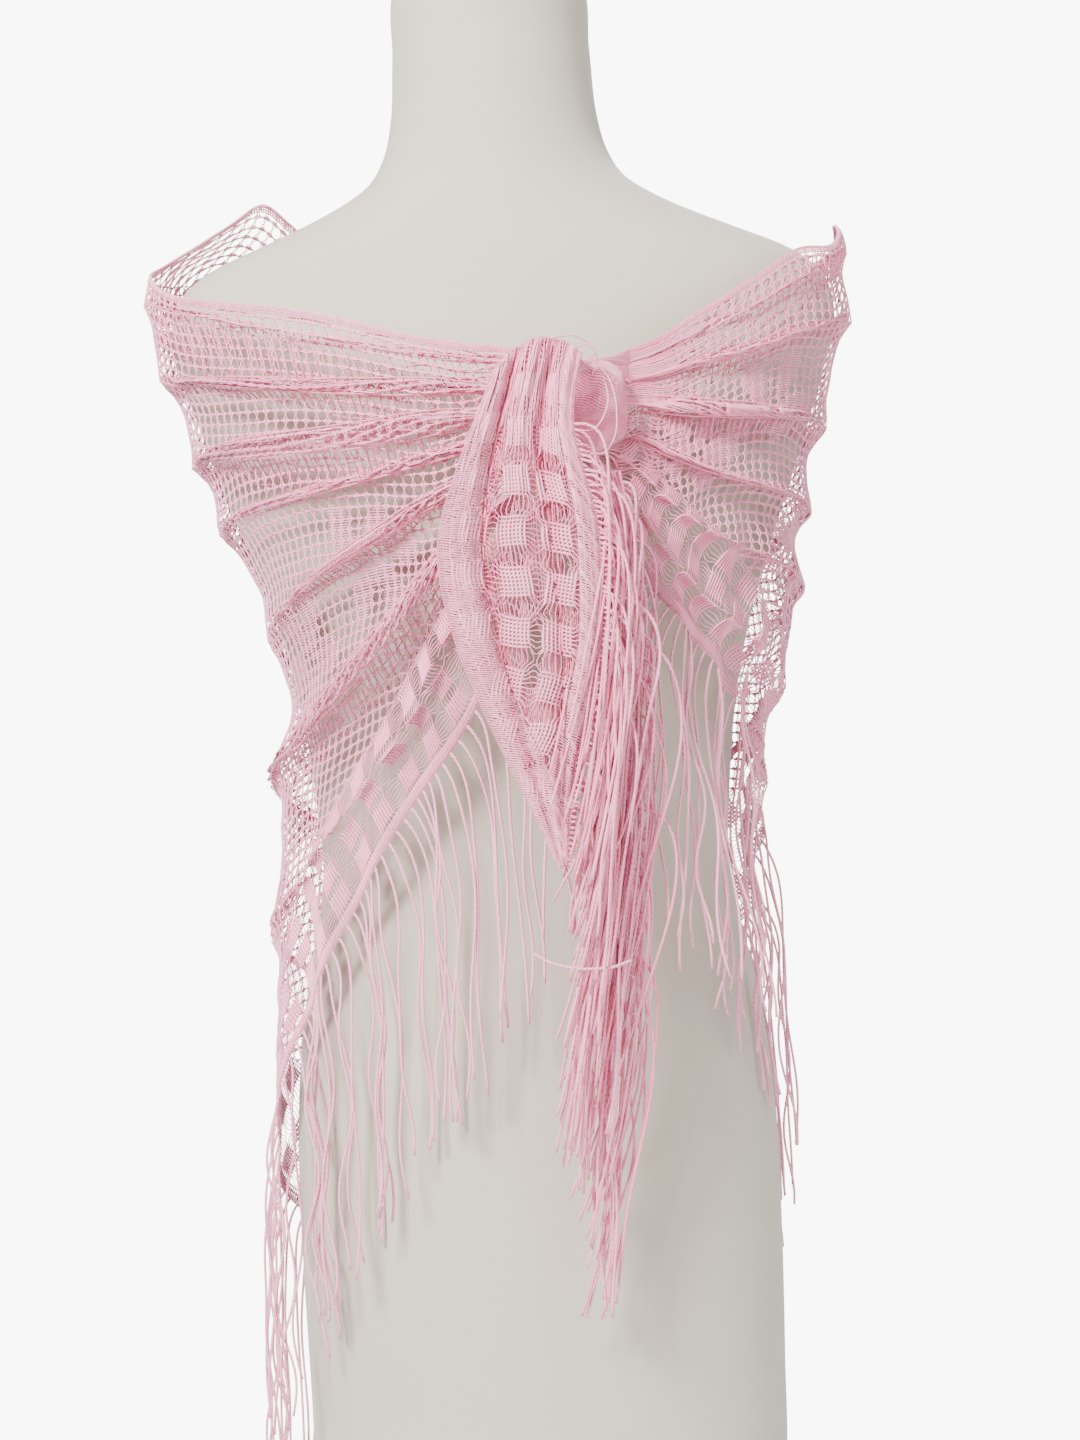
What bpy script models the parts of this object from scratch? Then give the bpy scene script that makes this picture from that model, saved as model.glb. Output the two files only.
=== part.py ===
"""A mesh triangle scarf, knotted round the shoulders of a limbless dress form.

Metres, +Z up, +X to the viewer's right, front towards -Y.  The origin is the centre of the
base's underside.  Heights in the tables count from the point where neck and shoulder meet.
"""

import bmesh
import bpy
import numpy as np

# Driving sizes
NECK_POINT = 1.36
WALL = 0.0015
GAP = 0.0003
SEAT = 0.0001
FRINGE_LENGTH = 0.180
CORD_WIDTH = 0.0022
STRIP_HEIGHT = 0.005

# Stand
BASE_RADIUS = 0.150
BASE_THICKNESS = 0.014
HUB_RADIUS = 0.022
HUB_FOOT_RADIUS = 0.028
HUB_TOP = 0.045
POLE_RADIUS = 0.0140
ROUND_SIDES = 40
FORM_COLUMNS = 36

# Wrapped stretches of the long edge: from the left knot, round the back, to the right knot
LEFT_KNOT_AT = 0.385
LEFT_SIDE_AT = 0.682
RIGHT_SIDE_AT = 1.105
RIGHT_KNOT_AT = 1.334

# Lace border along the fringed edge: widths of its rows, from the hem inwards
BORDER_ROWS = (0.007, 0.012, 0.013, 0.012, 0.013)
BORDER_HOLE_ROWS = (1, 3)
BORDER_FULL_HEIGHT = 0.30
UPPER_ROWS = 13
HOLES_START = 5
NEARBY = 0.0005


def table(columns, rows):
    """Name the columns of a short table of numbers."""
    return dict(zip(columns.split(), np.array(rows, dtype=float).T))


FORM_SECTIONS = table("height half_width front back", [
    (0.125, 0.0520, 0.054, 0.052),
    (0.121, 0.0550, 0.057, 0.055),
    (0.080, 0.0580, 0.058, 0.058),
    (0.040, 0.0610, 0.059, 0.062),
    (0.018, 0.0670, 0.061, 0.067),
    (0.003, 0.0770, 0.064, 0.073),
    (-0.009, 0.0950, 0.067, 0.077),
    (-0.020, 0.1180, 0.070, 0.081),
    (-0.030, 0.1420, 0.073, 0.084),
    (-0.042, 0.1700, 0.077, 0.087),
    (-0.052, 0.1840, 0.080, 0.089),
    (-0.066, 0.1930, 0.084, 0.092),
    (-0.085, 0.1950, 0.089, 0.095),
    (-0.110, 0.1880, 0.095, 0.099),
    (-0.140, 0.1780, 0.103, 0.102),
    (-0.175, 0.1660, 0.113, 0.102),
    (-0.210, 0.1530, 0.123, 0.099),
    (-0.245, 0.1410, 0.126, 0.094),
    (-0.280, 0.1320, 0.118, 0.088),
    (-0.320, 0.1250, 0.104, 0.081),
    (-0.360, 0.1210, 0.094, 0.076),
    (-0.390, 0.1190, 0.091, 0.076),
    (-0.430, 0.1240, 0.094, 0.084),
    (-0.480, 0.1340, 0.100, 0.096),
    (-0.540, 0.1400, 0.105, 0.105),
    (-0.600, 0.1410, 0.106, 0.106),
    (-0.690, 0.1395, 0.104, 0.104),
    (-0.760, 0.1370, 0.102, 0.102),
    (-0.790, 0.1310, 0.097, 0.097),
    (-0.800, 0.1190, 0.088, 0.088),
])

# Hollows of the draped cloth, before its folds stand out from them
CLOTH_SECTIONS = table("height left right front back", [
    (0.030, 0.150, 0.150, 0.078, 0.076),
    (0.012, 0.163, 0.160, 0.084, 0.080),
    (-0.005, 0.172, 0.170, 0.090, 0.086),
    (-0.020, 0.186, 0.186, 0.097, 0.091),
    (-0.032, 0.199, 0.196, 0.103, 0.096),
    (-0.046, 0.203, 0.198, 0.109, 0.099),
    (-0.073, 0.204, 0.199, 0.118, 0.101),
    (-0.106, 0.194, 0.193, 0.126, 0.100),
    (-0.138, 0.183, 0.183, 0.132, 0.102),
    (-0.168, 0.173, 0.173, 0.137, 0.102),
    (-0.200, 0.162, 0.165, 0.140, 0.103),
    (-0.232, 0.147, 0.161, 0.141, 0.106),
    (-0.265, 0.139, 0.157, 0.138, 0.106),
    (-0.300, 0.132, 0.145, 0.131, 0.106),
    (-0.338, 0.139, 0.134, 0.122, 0.106),
    (-0.384, 0.142, 0.131, 0.116, 0.108),
    (-0.430, 0.145, 0.137, 0.115, 0.110),
    (-0.500, 0.149, 0.145, 0.118, 0.116),
    (-0.600, 0.152, 0.150, 0.122, 0.121),
    (-0.760, 0.156, 0.154, 0.126, 0.126),
])

# Where the long edge and the fringed edge run round the form: "at" counts along the long edge
# from the left tip, and angles count from the front, falling towards the viewer's left
HANG = table("at top_angle top_height hem_angle hem_height", [
    (0.385, 6, -0.106, 12, -0.186),
    (0.411, -4, -0.098, -1, -0.262),
    (0.444, -13, -0.089, -13, -0.317),
    (0.493, -25.5, -0.074, -27, -0.362),
    (0.535, -38, -0.065, -40, -0.408),
    (0.574, -51, -0.060, -52, -0.452),
    (0.613, -66, -0.054, -63, -0.490),
    (0.645, -80, -0.045, -78, -0.540),
    (0.664, -90, -0.039, -90, -0.560),
    (0.682, -100, -0.032, -100, -0.576),
    (0.705, -110, -0.012, -110, -0.597),
    (0.735, -122, 0.006, -124, -0.624),
    (0.765, -136, -0.008, -140, -0.642),
    (0.800, -152, -0.016, -153, -0.650),
    (0.845, -170, -0.020, -170, -0.618),
    (0.890, -187, -0.020, -186, -0.580),
    (0.940, -205, -0.022, -203, -0.540),
    (0.990, -222, -0.030, -220, -0.502),
    (1.035, -238, -0.038, -236, -0.464),
    (1.075, -250, -0.041, -250, -0.430),
    (1.105, -260, -0.036, -260, -0.404),
    (1.123, -270, -0.029, -273, -0.378),
    (1.163, -289, -0.043, -296, -0.328),
    (1.199, -303.6, -0.052, -311, -0.296),
    (1.230, -314.3, -0.063, -321, -0.274),
    (1.274, -326.7, -0.081, -331, -0.247),
    (1.316, -337, -0.101, -339, -0.213),
    (1.334, -344, -0.108, -345, -0.188),
])

# Ridges of the folds that run out of the knot: heights, and how far each stands out, at the
# left knot, left breast, left side, back, right side, right breast and right knot
FOLD_STATIONS = np.array([0.385, 0.500, 0.664, 0.890, 1.123, 1.250, 1.334])
FOLD_SPREAD = np.array([0.0045, 0.0110, 0.0130, 0.0145, 0.0120, 0.0110, 0.0045])
FOLD_STEEPNESS = (1.25, 0.75)
FOLDS = {
    "collar roll": ((-0.112, -0.086, -0.055, -0.050, -0.045, -0.084, -0.114),
                    (0.004, 0.009, 0.005, 0.007, 0.005, 0.008, 0.004)),
    "upper band": ((-0.130, -0.120, -0.104, -0.092, -0.085, -0.110, -0.128),
                   (0.005, 0.012, 0.006, 0.008, 0.006, 0.011, 0.005)),
    "breast band": ((-0.144, -0.152, -0.155, -0.185, -0.148, -0.144, -0.142),
                    (0.005, 0.017, 0.007, 0.012, 0.006, 0.014, 0.005)),
    "lower band": ((-0.156, -0.176, -0.196, -0.250, -0.196, -0.176, -0.154),
                   (0.005, 0.010, 0.006, 0.012, 0.009, 0.012, 0.005)),
    "waist ridge": ((-0.166, -0.210, -0.262, -0.325, -0.240, -0.206, -0.165),
                    (0.005, 0.013, 0.004, 0.014, 0.007, 0.010, 0.005)),
    "great pleat": ((-0.175, -0.262, -0.338, -0.410, -0.300, -0.238, -0.174),
                    (0.005, 0.018, 0.010, 0.013, 0.006, 0.010, 0.005)),
    "hip ridge": ((-0.182, -0.322, -0.430, -0.490, -0.352, -0.262, -0.182),
                  (0.004, 0.009, 0.006, 0.010, 0.004, 0.005, 0.004)),
}

# Flutes of the hem: how far apart they stand and how deep they are round the body
FLUTES = table("at pitch depth", [
    (0.385, 0.050, 0.000),
    (0.493, 0.050, 0.004),
    (0.664, 0.055, 0.007),
    (0.890, 0.060, 0.017),
    (1.105, 0.055, 0.010),
    (1.250, 0.050, 0.005),
    (1.334, 0.050, 0.000),
])

# Knot: a barrel of gathered cloth lying across, with the turn that binds it at its right
KNOT_CENTRE_X = 0.0355
KNOT_CENTRE_HEIGHT = -0.150
KNOT_HALF_HEIGHT = 0.0340
KNOT_DEPTH = 0.031
KNOT_SEAT = 0.0006
KNOT_SIDES = 24
KNOT_SQUARENESS = (0.50, 0.75)
KNOT_RIDGES = 6
KNOT_RIDGE_DEPTH = 0.07
KNOT_PROFILE = table("across size", [
    (-0.0270, 0.55),
    (-0.0240, 0.84),
    (-0.0160, 0.965),
    (-0.0050, 0.975),
    (0.0060, 0.970),
    (0.0120, 0.930),
    (0.0150, 0.985),
    (0.0210, 1.000),
    (0.0270, 0.950),
    (0.0300, 0.62),
])

# Front tail: its outline, and how far it stands before the knot's face
FRONT_TAIL = table("height left right forward", [
    (-0.1155, 0.0040, 0.0500, -0.0260),
    (-0.1105, 0.0010, 0.0520, -0.0150),
    (-0.1125, -0.0020, 0.0535, -0.0060),
    (-0.1220, -0.0060, 0.0540, -0.0004),
    (-0.1380, -0.0110, 0.0525, 0.0000),
    (-0.1550, -0.0175, 0.0500, 0.0000),
    (-0.2040, -0.0350, 0.0480, 0.0006),
    (-0.2250, -0.0380, 0.0470, 0.0000),
    (-0.2680, -0.0310, 0.0460, -0.0010),
    (-0.3000, -0.0200, 0.0400, -0.0040),
    (-0.3340, -0.0060, 0.0300, -0.0060),
    (-0.3650, 0.0080, 0.0250, -0.0075),
    (-0.3900, 0.0180, 0.0230, -0.0085),
])
FRONT_TAIL_STEPS = 26
FRONT_TAIL_ACROSS = (0.0, 0.10, 0.21, 0.32, 0.417, 0.53, 0.63, 0.73, 0.833, 0.93, 1.0)
FRONT_TAIL_PLEATS = 2.4
FRONT_TAIL_PLEAT_DEPTH = 0.011
FRONT_TAIL_HOLE_COLUMNS = (1, 3)
FRONT_TAIL_HOLES = range(9, 21, 2)

# Back tail: narrower, gathered, hanging from under the knot
BACK_TAIL = table("height left right forward", [
    (-0.1820, 0.0260, 0.0600, -0.0160),
    (-0.2200, 0.0340, 0.0660, -0.0190),
    (-0.2600, 0.0410, 0.0680, -0.0220),
    (-0.3100, 0.0440, 0.0660, -0.0250),
    (-0.3700, 0.0430, 0.0600, -0.0280),
    (-0.4300, 0.0420, 0.0530, -0.0300),
    (-0.4690, 0.0420, 0.0470, -0.0310),
])
BACK_TAIL_STEPS = 18
BACK_TAIL_ACROSS = (0.0, 0.2, 0.4, 0.6, 0.8, 1.0)
BACK_TAIL_PLEATS = 1.5
BACK_TAIL_PLEAT_DEPTH = 0.006

# Fringe: share of each cord's length where it bends, and how it hangs there
HANGING_CORD = table("length outwards", [
    (0.07, 0.0020),
    (0.36, 0.0030),
    (0.68, 0.0020),
    (1.00, 0.0010),
])
CORD_CLEARANCE = 0.0040
TAIL_CORD = table("across down", [
    (0.30, 0.030),
    (0.72, 0.120),
    (1.00, 0.330),
    (1.00, 1.000),
])
CORD_SWAY = 0.0035
CORD_UNEVEN = 0.010
TAIL_CORD_REACH = (0.006, 0.028)
TAIL_CORD_LAYERS = 0.0045

COLOURS = {
    "lace": (0.760, 0.480, 0.545, 1.0),
    "cord": (0.800, 0.520, 0.590, 1.0),
    "jersey": (0.720, 0.660, 0.585, 1.0),
    "metal": (0.055, 0.055, 0.060, 1.0),
}


def clear_scene():
    """Remove what the scene holds at the start."""
    for old in list(bpy.data.objects):
        bpy.data.objects.remove(old, do_unlink=True)


def smooth(at, stations, values):
    """Read a smooth curve through a table: cubic pieces whose slopes never overshoot a row."""
    stations = np.asarray(stations, dtype=float)
    values = np.asarray(values, dtype=float)
    if stations[0] > stations[-1]:
        stations, values = stations[::-1], values[::-1]
    at = np.clip(np.asarray(at, dtype=float), stations[0], stations[-1])
    steps = np.diff(stations)
    rises = np.diff(values) / steps
    slopes = np.concatenate([rises[:1], 0.5 * (rises[:-1] + rises[1:]), rises[-1:]])
    turning = rises[:-1] * rises[1:] <= 0.0
    slopes[1:-1][turning] = 0.0
    cell = np.clip(np.searchsorted(stations, at, side="right") - 1, 0, len(steps) - 1)
    step = steps[cell]
    part = (at - stations[cell]) / step
    rest = 1.0 - part
    start = values[cell] * (1.0 + 2.0 * part) * rest ** 2
    end = values[cell + 1] * (3.0 - 2.0 * part) * part ** 2
    leaning = step * (slopes[cell] * part * rest ** 2 - slopes[cell + 1] * rest * part ** 2)
    return start + end + leaning


def form_reach(height, side):
    """Half width, front depth or back depth of the form at a height."""
    return smooth(height, FORM_SECTIONS["height"], FORM_SECTIONS[side])


def cloth_reach(height, side):
    """Reach of the cloth's hollows: the drape's own, or the form's with the cloth lying on it."""
    form_side = "half_width" if side in ("left", "right") else side
    own = smooth(height, CLOTH_SECTIONS["height"], CLOTH_SECTIONS[side])
    return np.maximum(own, form_reach(height, form_side) + WALL + SEAT)


def fold_relief(at, height):
    """How far the folds stand out: ridges that fall away gently above and steeply below."""
    spread = smooth(at, FOLD_STATIONS, FOLD_SPREAD)
    relief = np.zeros(np.broadcast(at, height).shape)
    for heights, depths in FOLDS.values():
        off = height - smooth(at, FOLD_STATIONS, heights)
        reach = spread * np.where(off > 0.0, FOLD_STEEPNESS[0], FOLD_STEEPNESS[1])
        ridge = smooth(at, FOLD_STATIONS, depths) * np.exp(-(off / reach) ** 2)
        relief = np.maximum(relief, ridge) + 0.25 * np.minimum(relief, ridge)
    return relief


def flute_relief(at, down):
    """How far the hem's flutes stand out: none at the long edge, all at the hem."""
    depth = smooth(at, FLUTES["at"], FLUTES["depth"])
    pitch = smooth(at, FLUTES["at"], FLUTES["pitch"])
    wave = 0.5 - 0.5 * np.cos(2.0 * np.pi * (at - LEFT_KNOT_AT) / pitch)
    return depth * wave * np.clip(down, 0.0, 1.0) ** 3


def drape(at, down):
    """Points of the draped cloth: at, along the long edge; down, from it (0) to the hem (1)."""
    at, down = np.broadcast_arrays(np.asarray(at, float), np.asarray(down, float))
    edge = {name: smooth(at, HANG["at"], HANG[name]) for name in HANG}
    angle = np.radians(edge["top_angle"] + (edge["hem_angle"] - edge["top_angle"]) * down)
    height = edge["top_height"] + (edge["hem_height"] - edge["top_height"]) * down
    wide = np.where(np.sin(angle) < 0.0, cloth_reach(height, "left"), cloth_reach(height, "right"))
    deep = np.where(np.cos(angle) > 0.0, cloth_reach(height, "front"), cloth_reach(height, "back"))
    relief = fold_relief(at, height) + flute_relief(at, down)
    lean_x, lean_y = np.sin(angle) / wide, -np.cos(angle) / deep
    lean = np.hypot(lean_x, lean_y)
    x = wide * np.sin(angle) + relief * lean_x / lean
    y = -deep * np.cos(angle) + relief * lean_y / lean
    return np.stack([x, y, NECK_POINT + height - 0.2 * relief], axis=-1)


def hem_steps(start, end, count):
    """Places along the long edge whose hem points lie evenly apart."""
    fine = np.linspace(start, end, 400)
    hem = drape(fine, 1.0)
    run = np.concatenate([[0.0], np.cumsum(np.linalg.norm(np.diff(hem, axis=0), axis=1))])
    return np.interp(np.linspace(0.0, run[-1], count + 1), run, fine)


def normals(surface, along, down):
    """Unit normals of a surface at places along and down it, from four points close by."""
    sideways = surface(along + NEARBY, down) - surface(along - NEARBY, down)
    downwards = surface(along, down + NEARBY) - surface(along, down - NEARBY)
    cross = np.cross(sideways, downwards)
    return cross / np.linalg.norm(cross, axis=-1, keepdims=True)


def make_object(name, vertices, faces, material, shade=True):
    """Put a mesh in the scene, with its faces turned outwards."""
    mesh = bpy.data.meshes.new(name)
    mesh.from_pydata([tuple(point) for point in vertices], [], faces)
    shape = bmesh.new()
    shape.from_mesh(mesh)
    bmesh.ops.recalc_face_normals(shape, faces=shape.faces[:])
    bmesh.ops.triangulate(shape, faces=shape.faces[:])
    shape.to_mesh(mesh)
    shape.free()
    if shade:
        mesh.shade_smooth()
        mesh.set_sharp_from_angle(angle=np.radians(50.0))
    mesh.materials.append(material)
    made = bpy.data.objects.new(name, mesh)
    bpy.context.scene.collection.objects.link(made)
    return made


def make_material(name, colour, roughness, metallic=0.0):
    """A plain surface of one colour."""
    material = bpy.data.materials.new(name)
    material.use_nodes = True
    shader = material.node_tree.nodes["Principled BSDF"]
    shader.inputs["Base Color"].default_value = colour
    shader.inputs["Roughness"].default_value = roughness
    shader.inputs["Metallic"].default_value = metallic
    return material


def wall(outer, facing, holes=(), open_foot=False):
    """A wall between a grid of points and the same grid moved in, with cells left out as holes.

    Facing holds the grid's normals.  With open_foot the last row's rim is left open, for cords
    to grow from.
    """
    rows, columns = outer.shape[:2]
    inner = outer - WALL * facing
    vertices = np.concatenate([outer.reshape(-1, 3), inner.reshape(-1, 3)])
    layer = rows * columns
    cells = [(row, column) for row in range(rows - 1) for column in range(columns - 1)
             if (row, column) not in holes]
    faces, edges = [], set()
    for row, column in cells:
        corner = row * columns + column
        loop = (corner, corner + 1, corner + columns + 1, corner + columns)
        faces.append(loop)
        faces.append(tuple(layer + point for point in reversed(loop)))
        edges.update(zip(loop, loop[1:] + loop[:1]))
    foot = (rows - 1) * columns
    for first, second in edges:
        if (second, first) in edges or (open_foot and min(first, second) >= foot):
            continue
        faces.append((second, first, layer + first, layer + second))
    return vertices, sorted(faces)


def down_steps(at):
    """Shares of the way to the hem: even rows, then the lace border's own rows."""
    height = np.linalg.norm(drape(at, 1.0) - drape(at, 0.0), axis=-1)
    scale = np.minimum(1.0, height / BORDER_FULL_HEIGHT)
    border = np.cumsum(BORDER_ROWS)[::-1]
    shares = [1.0 - border_at * scale / height for border_at in border]
    upper = [shares[0] * row / UPPER_ROWS for row in range(UPPER_ROWS)]
    return np.stack(upper + shares + [np.ones_like(height)])


def make_wrap(name, start, end, columns, first_hole, material):
    """One stretch of the scarf round the form, its border cut through between its bars."""
    at = hem_steps(start, end, columns)
    down = down_steps(at)
    at = np.broadcast_to(at, down.shape)
    points = drape(at, down)
    facing = normals(drape, at, down)
    last_row = down.shape[0] - 2
    holes = {(last_row - row, column) for row in BORDER_HOLE_ROWS
             for column in range(first_hole, columns - 1, 2)}
    make_object(name, *wall(points, facing, holes), material)
    return points[-1], points[-1] - points[-2], facing[-1]


def turned_mesh(rings, sides):
    """Close a stack of rings of points with a flat face at each end."""
    faces = []
    for ring in range(len(rings) - 1):
        for side in range(sides):
            after = (side + 1) % sides
            low, high = ring * sides, (ring + 1) * sides
            faces.append((low + side, low + after, high + after, high + side))
    faces.append(tuple(range(sides)))
    faces.append(tuple(range((len(rings) - 1) * sides, len(rings) * sides)))
    return np.concatenate(rings), faces


def make_form(material):
    """The limbless form: neck, sloping shoulders, waist and hips."""
    angle = np.linspace(0.0, 2.0 * np.pi, FORM_COLUMNS, endpoint=False)
    rings = []
    for height, half_width, front, back in zip(*FORM_SECTIONS.values()):
        deep = np.where(np.cos(angle) > 0.0, front, back)
        level = np.full_like(angle, NECK_POINT + height)
        rings.append(np.stack([half_width * np.sin(angle), -deep * np.cos(angle), level], axis=-1))
    vertices, faces = turned_mesh(rings, FORM_COLUMNS)
    return make_object("form", vertices, faces, material)


def make_turned(name, profile, material):
    """A piece turned about the stand's axis, from (radius, height) rows, bottom to top."""
    angle = np.linspace(0.0, 2.0 * np.pi, ROUND_SIDES, endpoint=False)
    rings = [np.stack([radius * np.cos(angle), radius * np.sin(angle),
                       np.full_like(angle, height)], axis=-1) for radius, height in profile]
    vertices, faces = turned_mesh(rings, ROUND_SIDES)
    return make_object(name, vertices, faces, material)


def make_stand(material):
    """A round flat plate, the hub on it, and the pole that carries the form."""
    make_turned("base", [
        (BASE_RADIUS, 0.0),
        (BASE_RADIUS, 0.7 * BASE_THICKNESS),
        (0.985 * BASE_RADIUS, BASE_THICKNESS),
    ], material)
    make_turned("hub", [
        (HUB_FOOT_RADIUS, BASE_THICKNESS + GAP),
        (HUB_RADIUS, HUB_TOP),
    ], material)
    form_foot = NECK_POINT + FORM_SECTIONS["height"][-1]
    make_turned("pole", [
        (POLE_RADIUS, HUB_TOP + GAP),
        (POLE_RADIUS, form_foot - GAP),
    ], material)


def knot_face():
    """Depth of the knot's back and front: it lies just before the folds that run into it."""
    ends = drape(np.array([[LEFT_KNOT_AT], [RIGHT_KNOT_AT]]), np.linspace(0.3, 0.7, 40))
    back = ends[..., 1].min() - KNOT_SEAT
    return back, back - KNOT_DEPTH


def squared(turn, power):
    """Flatten a sine or cosine towards its ends, which makes a round outline squarer."""
    return np.sign(turn) * np.abs(turn) ** power


def make_knot(material):
    """The knot: a ridged barrel of gathered cloth, bound by one turn at its right."""
    back, front = knot_face()
    angle = np.linspace(0.0, 2.0 * np.pi, KNOT_SIDES, endpoint=False)
    ridges = 1.0 - KNOT_RIDGE_DEPTH * (0.5 - 0.5 * np.cos(KNOT_RIDGES * angle))
    deep, tall = KNOT_SQUARENESS
    rings = []
    for across, size in zip(*KNOT_PROFILE.values()):
        reach = size * ridges
        y = 0.5 * (back + front) + 0.5 * KNOT_DEPTH * reach * squared(np.cos(angle), deep)
        z = NECK_POINT + KNOT_CENTRE_HEIGHT + KNOT_HALF_HEIGHT * reach * squared(np.sin(angle), tall)
        rings.append(np.stack([np.full_like(angle, KNOT_CENTRE_X + across), y, z], axis=-1))
    vertices, faces = turned_mesh(rings, KNOT_SIDES)
    return make_object("knot", vertices, faces, material)


def tail_points(outline, along, across, pleats, pleat_depth):
    """Points of a hanging tail: its outline, set in upright pleats that die out at its tip."""
    front = knot_face()[1]
    run = np.concatenate([[0.0], np.cumsum(np.hypot(np.diff(outline["height"]),
                                                    np.diff(outline["forward"])))])
    run /= run[-1]
    along, across = np.broadcast_arrays(along, across)
    height, left, right, forward = (smooth(along, run, outline[name]) for name in outline)
    slimmer = 1.0 - np.clip(along, 0.0, 1.0) ** 3
    swelling = np.clip(along / 0.12, 0.0, 1.0)
    wave = 0.5 - 0.5 * np.cos(2.0 * np.pi * pleats * across)
    y = front - forward - WALL - GAP - pleat_depth * slimmer * swelling * wave
    return np.stack([left + (right - left) * across, y, NECK_POINT + height], axis=-1)


def front_tail(along, across):
    """Points of the front tail."""
    return tail_points(FRONT_TAIL, along, across, FRONT_TAIL_PLEATS, FRONT_TAIL_PLEAT_DEPTH)


def back_tail(along, across):
    """Points of the back tail."""
    return tail_points(BACK_TAIL, along, across, BACK_TAIL_PLEATS, BACK_TAIL_PLEAT_DEPTH)


def make_tail(name, surface, steps, across, holes, material):
    """One tail as a pleated wall."""
    along = np.linspace(0.0, 1.0, steps + 1)[:, None]
    across = np.array(across)[None, ::-1]
    points = surface(along, across)
    facing = normals(surface, along, across)
    make_object(name, *wall(points, facing, holes), material)
    return points[:, 0], points[:, 0] - points[:, 1], facing[:, 0]


def grow_cord(vertices, faces, root, centres, side, out):
    """Carry a square cord from the four root corners through its centres, and close its end."""
    ring = root
    half = 0.5 * CORD_WIDTH
    for centre in centres:
        start = len(vertices)
        for along, away in ((-half, half), (half, half), (half, -half), (-half, -half)):
            vertices.append(centre + along * side + away * out)
        after = list(range(start, start + 4))
        for corner in range(4):
            other = (corner + 1) % 4
            faces.append((ring[corner], ring[other], after[other], after[corner]))
        ring = after
    faces.append(tuple(ring))


def make_fringe(name, edge, centres_of, material):
    """A narrow strip just past an edge of the cloth, with one cord grown from each cell.

    Edge holds the edge's points, the way out past it and the cloth's normals there.
    """
    hem, past, facing = edge
    past = past / np.linalg.norm(past, axis=-1, keepdims=True)
    strip = np.stack([hem + GAP * past, hem + (GAP + STRIP_HEIGHT) * past])
    vertices, faces = wall(strip, np.stack([facing, facing]), open_foot=True)
    vertices, faces = list(vertices), list(faces)
    columns = len(hem)
    for cell in range(columns - 1):
        first, second = columns + cell, columns + cell + 1
        root = [first, second, 2 * columns + second, 2 * columns + first]
        middle = np.mean([vertices[corner] for corner in root], axis=0)
        out = facing[cell] + facing[cell + 1]
        out[2] = 0.0
        out /= np.linalg.norm(out)
        side = vertices[second] - vertices[first]
        side = side - out * np.dot(side, out)
        side[2] = 0.0
        side /= np.linalg.norm(side)
        grow_cord(vertices, faces, root, centres_of(middle, out, cell, columns - 1), side, out)
    make_object(name, vertices, faces, material, shade=False)


def hanging_cords(seed):
    """Cords that leave the hem and hang straight down, a little uneven."""
    rng = np.random.default_rng(seed)

    def centres_of(root, out, cell, count):
        length = FRINGE_LENGTH + CORD_UNEVEN * rng.uniform(-1.0, 1.0)
        sway = CORD_SWAY * rng.uniform(-1.0, 1.0)
        across = np.array([-out[1], out[0], 0.0])
        down = np.array([0.0, 0.0, -1.0])
        return [off_form(root + down * length * share + out * away + across * sway * share)
                for share, away in zip(*HANGING_CORD.values())]

    return centres_of


def off_form(point):
    """Move a point of a cord straight out until it lies on the form and not in it."""
    height = point[2] - NECK_POINT
    wide = form_reach(height, "half_width") + CORD_CLEARANCE
    deep = form_reach(height, "front" if point[1] < 0.0 else "back") + CORD_CLEARANCE
    inside = np.hypot(point[0] / wide, point[1] / deep)
    if inside < 1.0:
        point[:2] /= inside
    return point


def tail_cords(seed):
    """Cords that leave a tail's edge sideways, the upper ones further out, and fall."""
    rng = np.random.default_rng(seed)

    def centres_of(root, out, cell, count):
        length = FRINGE_LENGTH + CORD_UNEVEN * rng.uniform(-1.0, 1.0)
        near, far = TAIL_CORD_REACH
        reach = far + (near - far) * cell / count
        layer = TAIL_CORD_LAYERS * (cell % 2)
        return [root + np.array([reach * across, -layer * across, -length * down])
                for across, down in zip(*TAIL_CORD.values())]

    return centres_of


def main():
    """Build every piece."""
    clear_scene()
    lace = make_material("lace", COLOURS["lace"], 0.60)
    cord = make_material("cord", COLOURS["cord"], 0.65)
    jersey = make_material("jersey", COLOURS["jersey"], 0.85)
    metal = make_material("stand_metal", COLOURS["metal"], 0.45, 0.6)

    make_stand(metal)
    make_form(jersey)

    seam = 0.5 * GAP
    left = make_wrap("wrap_left", LEFT_KNOT_AT, LEFT_SIDE_AT - seam, 34, HOLES_START, lace)
    back = make_wrap("wrap_back", LEFT_SIDE_AT + seam, RIGHT_SIDE_AT - seam, 38, 1, lace)
    right = make_wrap("wrap_right", RIGHT_SIDE_AT + seam, RIGHT_KNOT_AT, 22, 1, lace)
    make_knot(lace)
    tail_holes = {(row, column) for row in FRONT_TAIL_HOLES for column in FRONT_TAIL_HOLE_COLUMNS}
    front = make_tail("tail_front", front_tail, FRONT_TAIL_STEPS, FRONT_TAIL_ACROSS, tail_holes, lace)
    behind = make_tail("tail_back", back_tail, BACK_TAIL_STEPS, BACK_TAIL_ACROSS, (), lace)

    make_fringe("fringe_left", [part[3:] for part in left], hanging_cords(11), cord)
    make_fringe("fringe_back", back, hanging_cords(12), cord)
    make_fringe("fringe_right", [part[:-2] for part in right], hanging_cords(13), cord)
    make_fringe("fringe_tail_front", [part[6:] for part in front], tail_cords(14), cord)
    make_fringe("fringe_tail_back", [part[3:] for part in behind], tail_cords(15), cord)


main()
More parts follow.
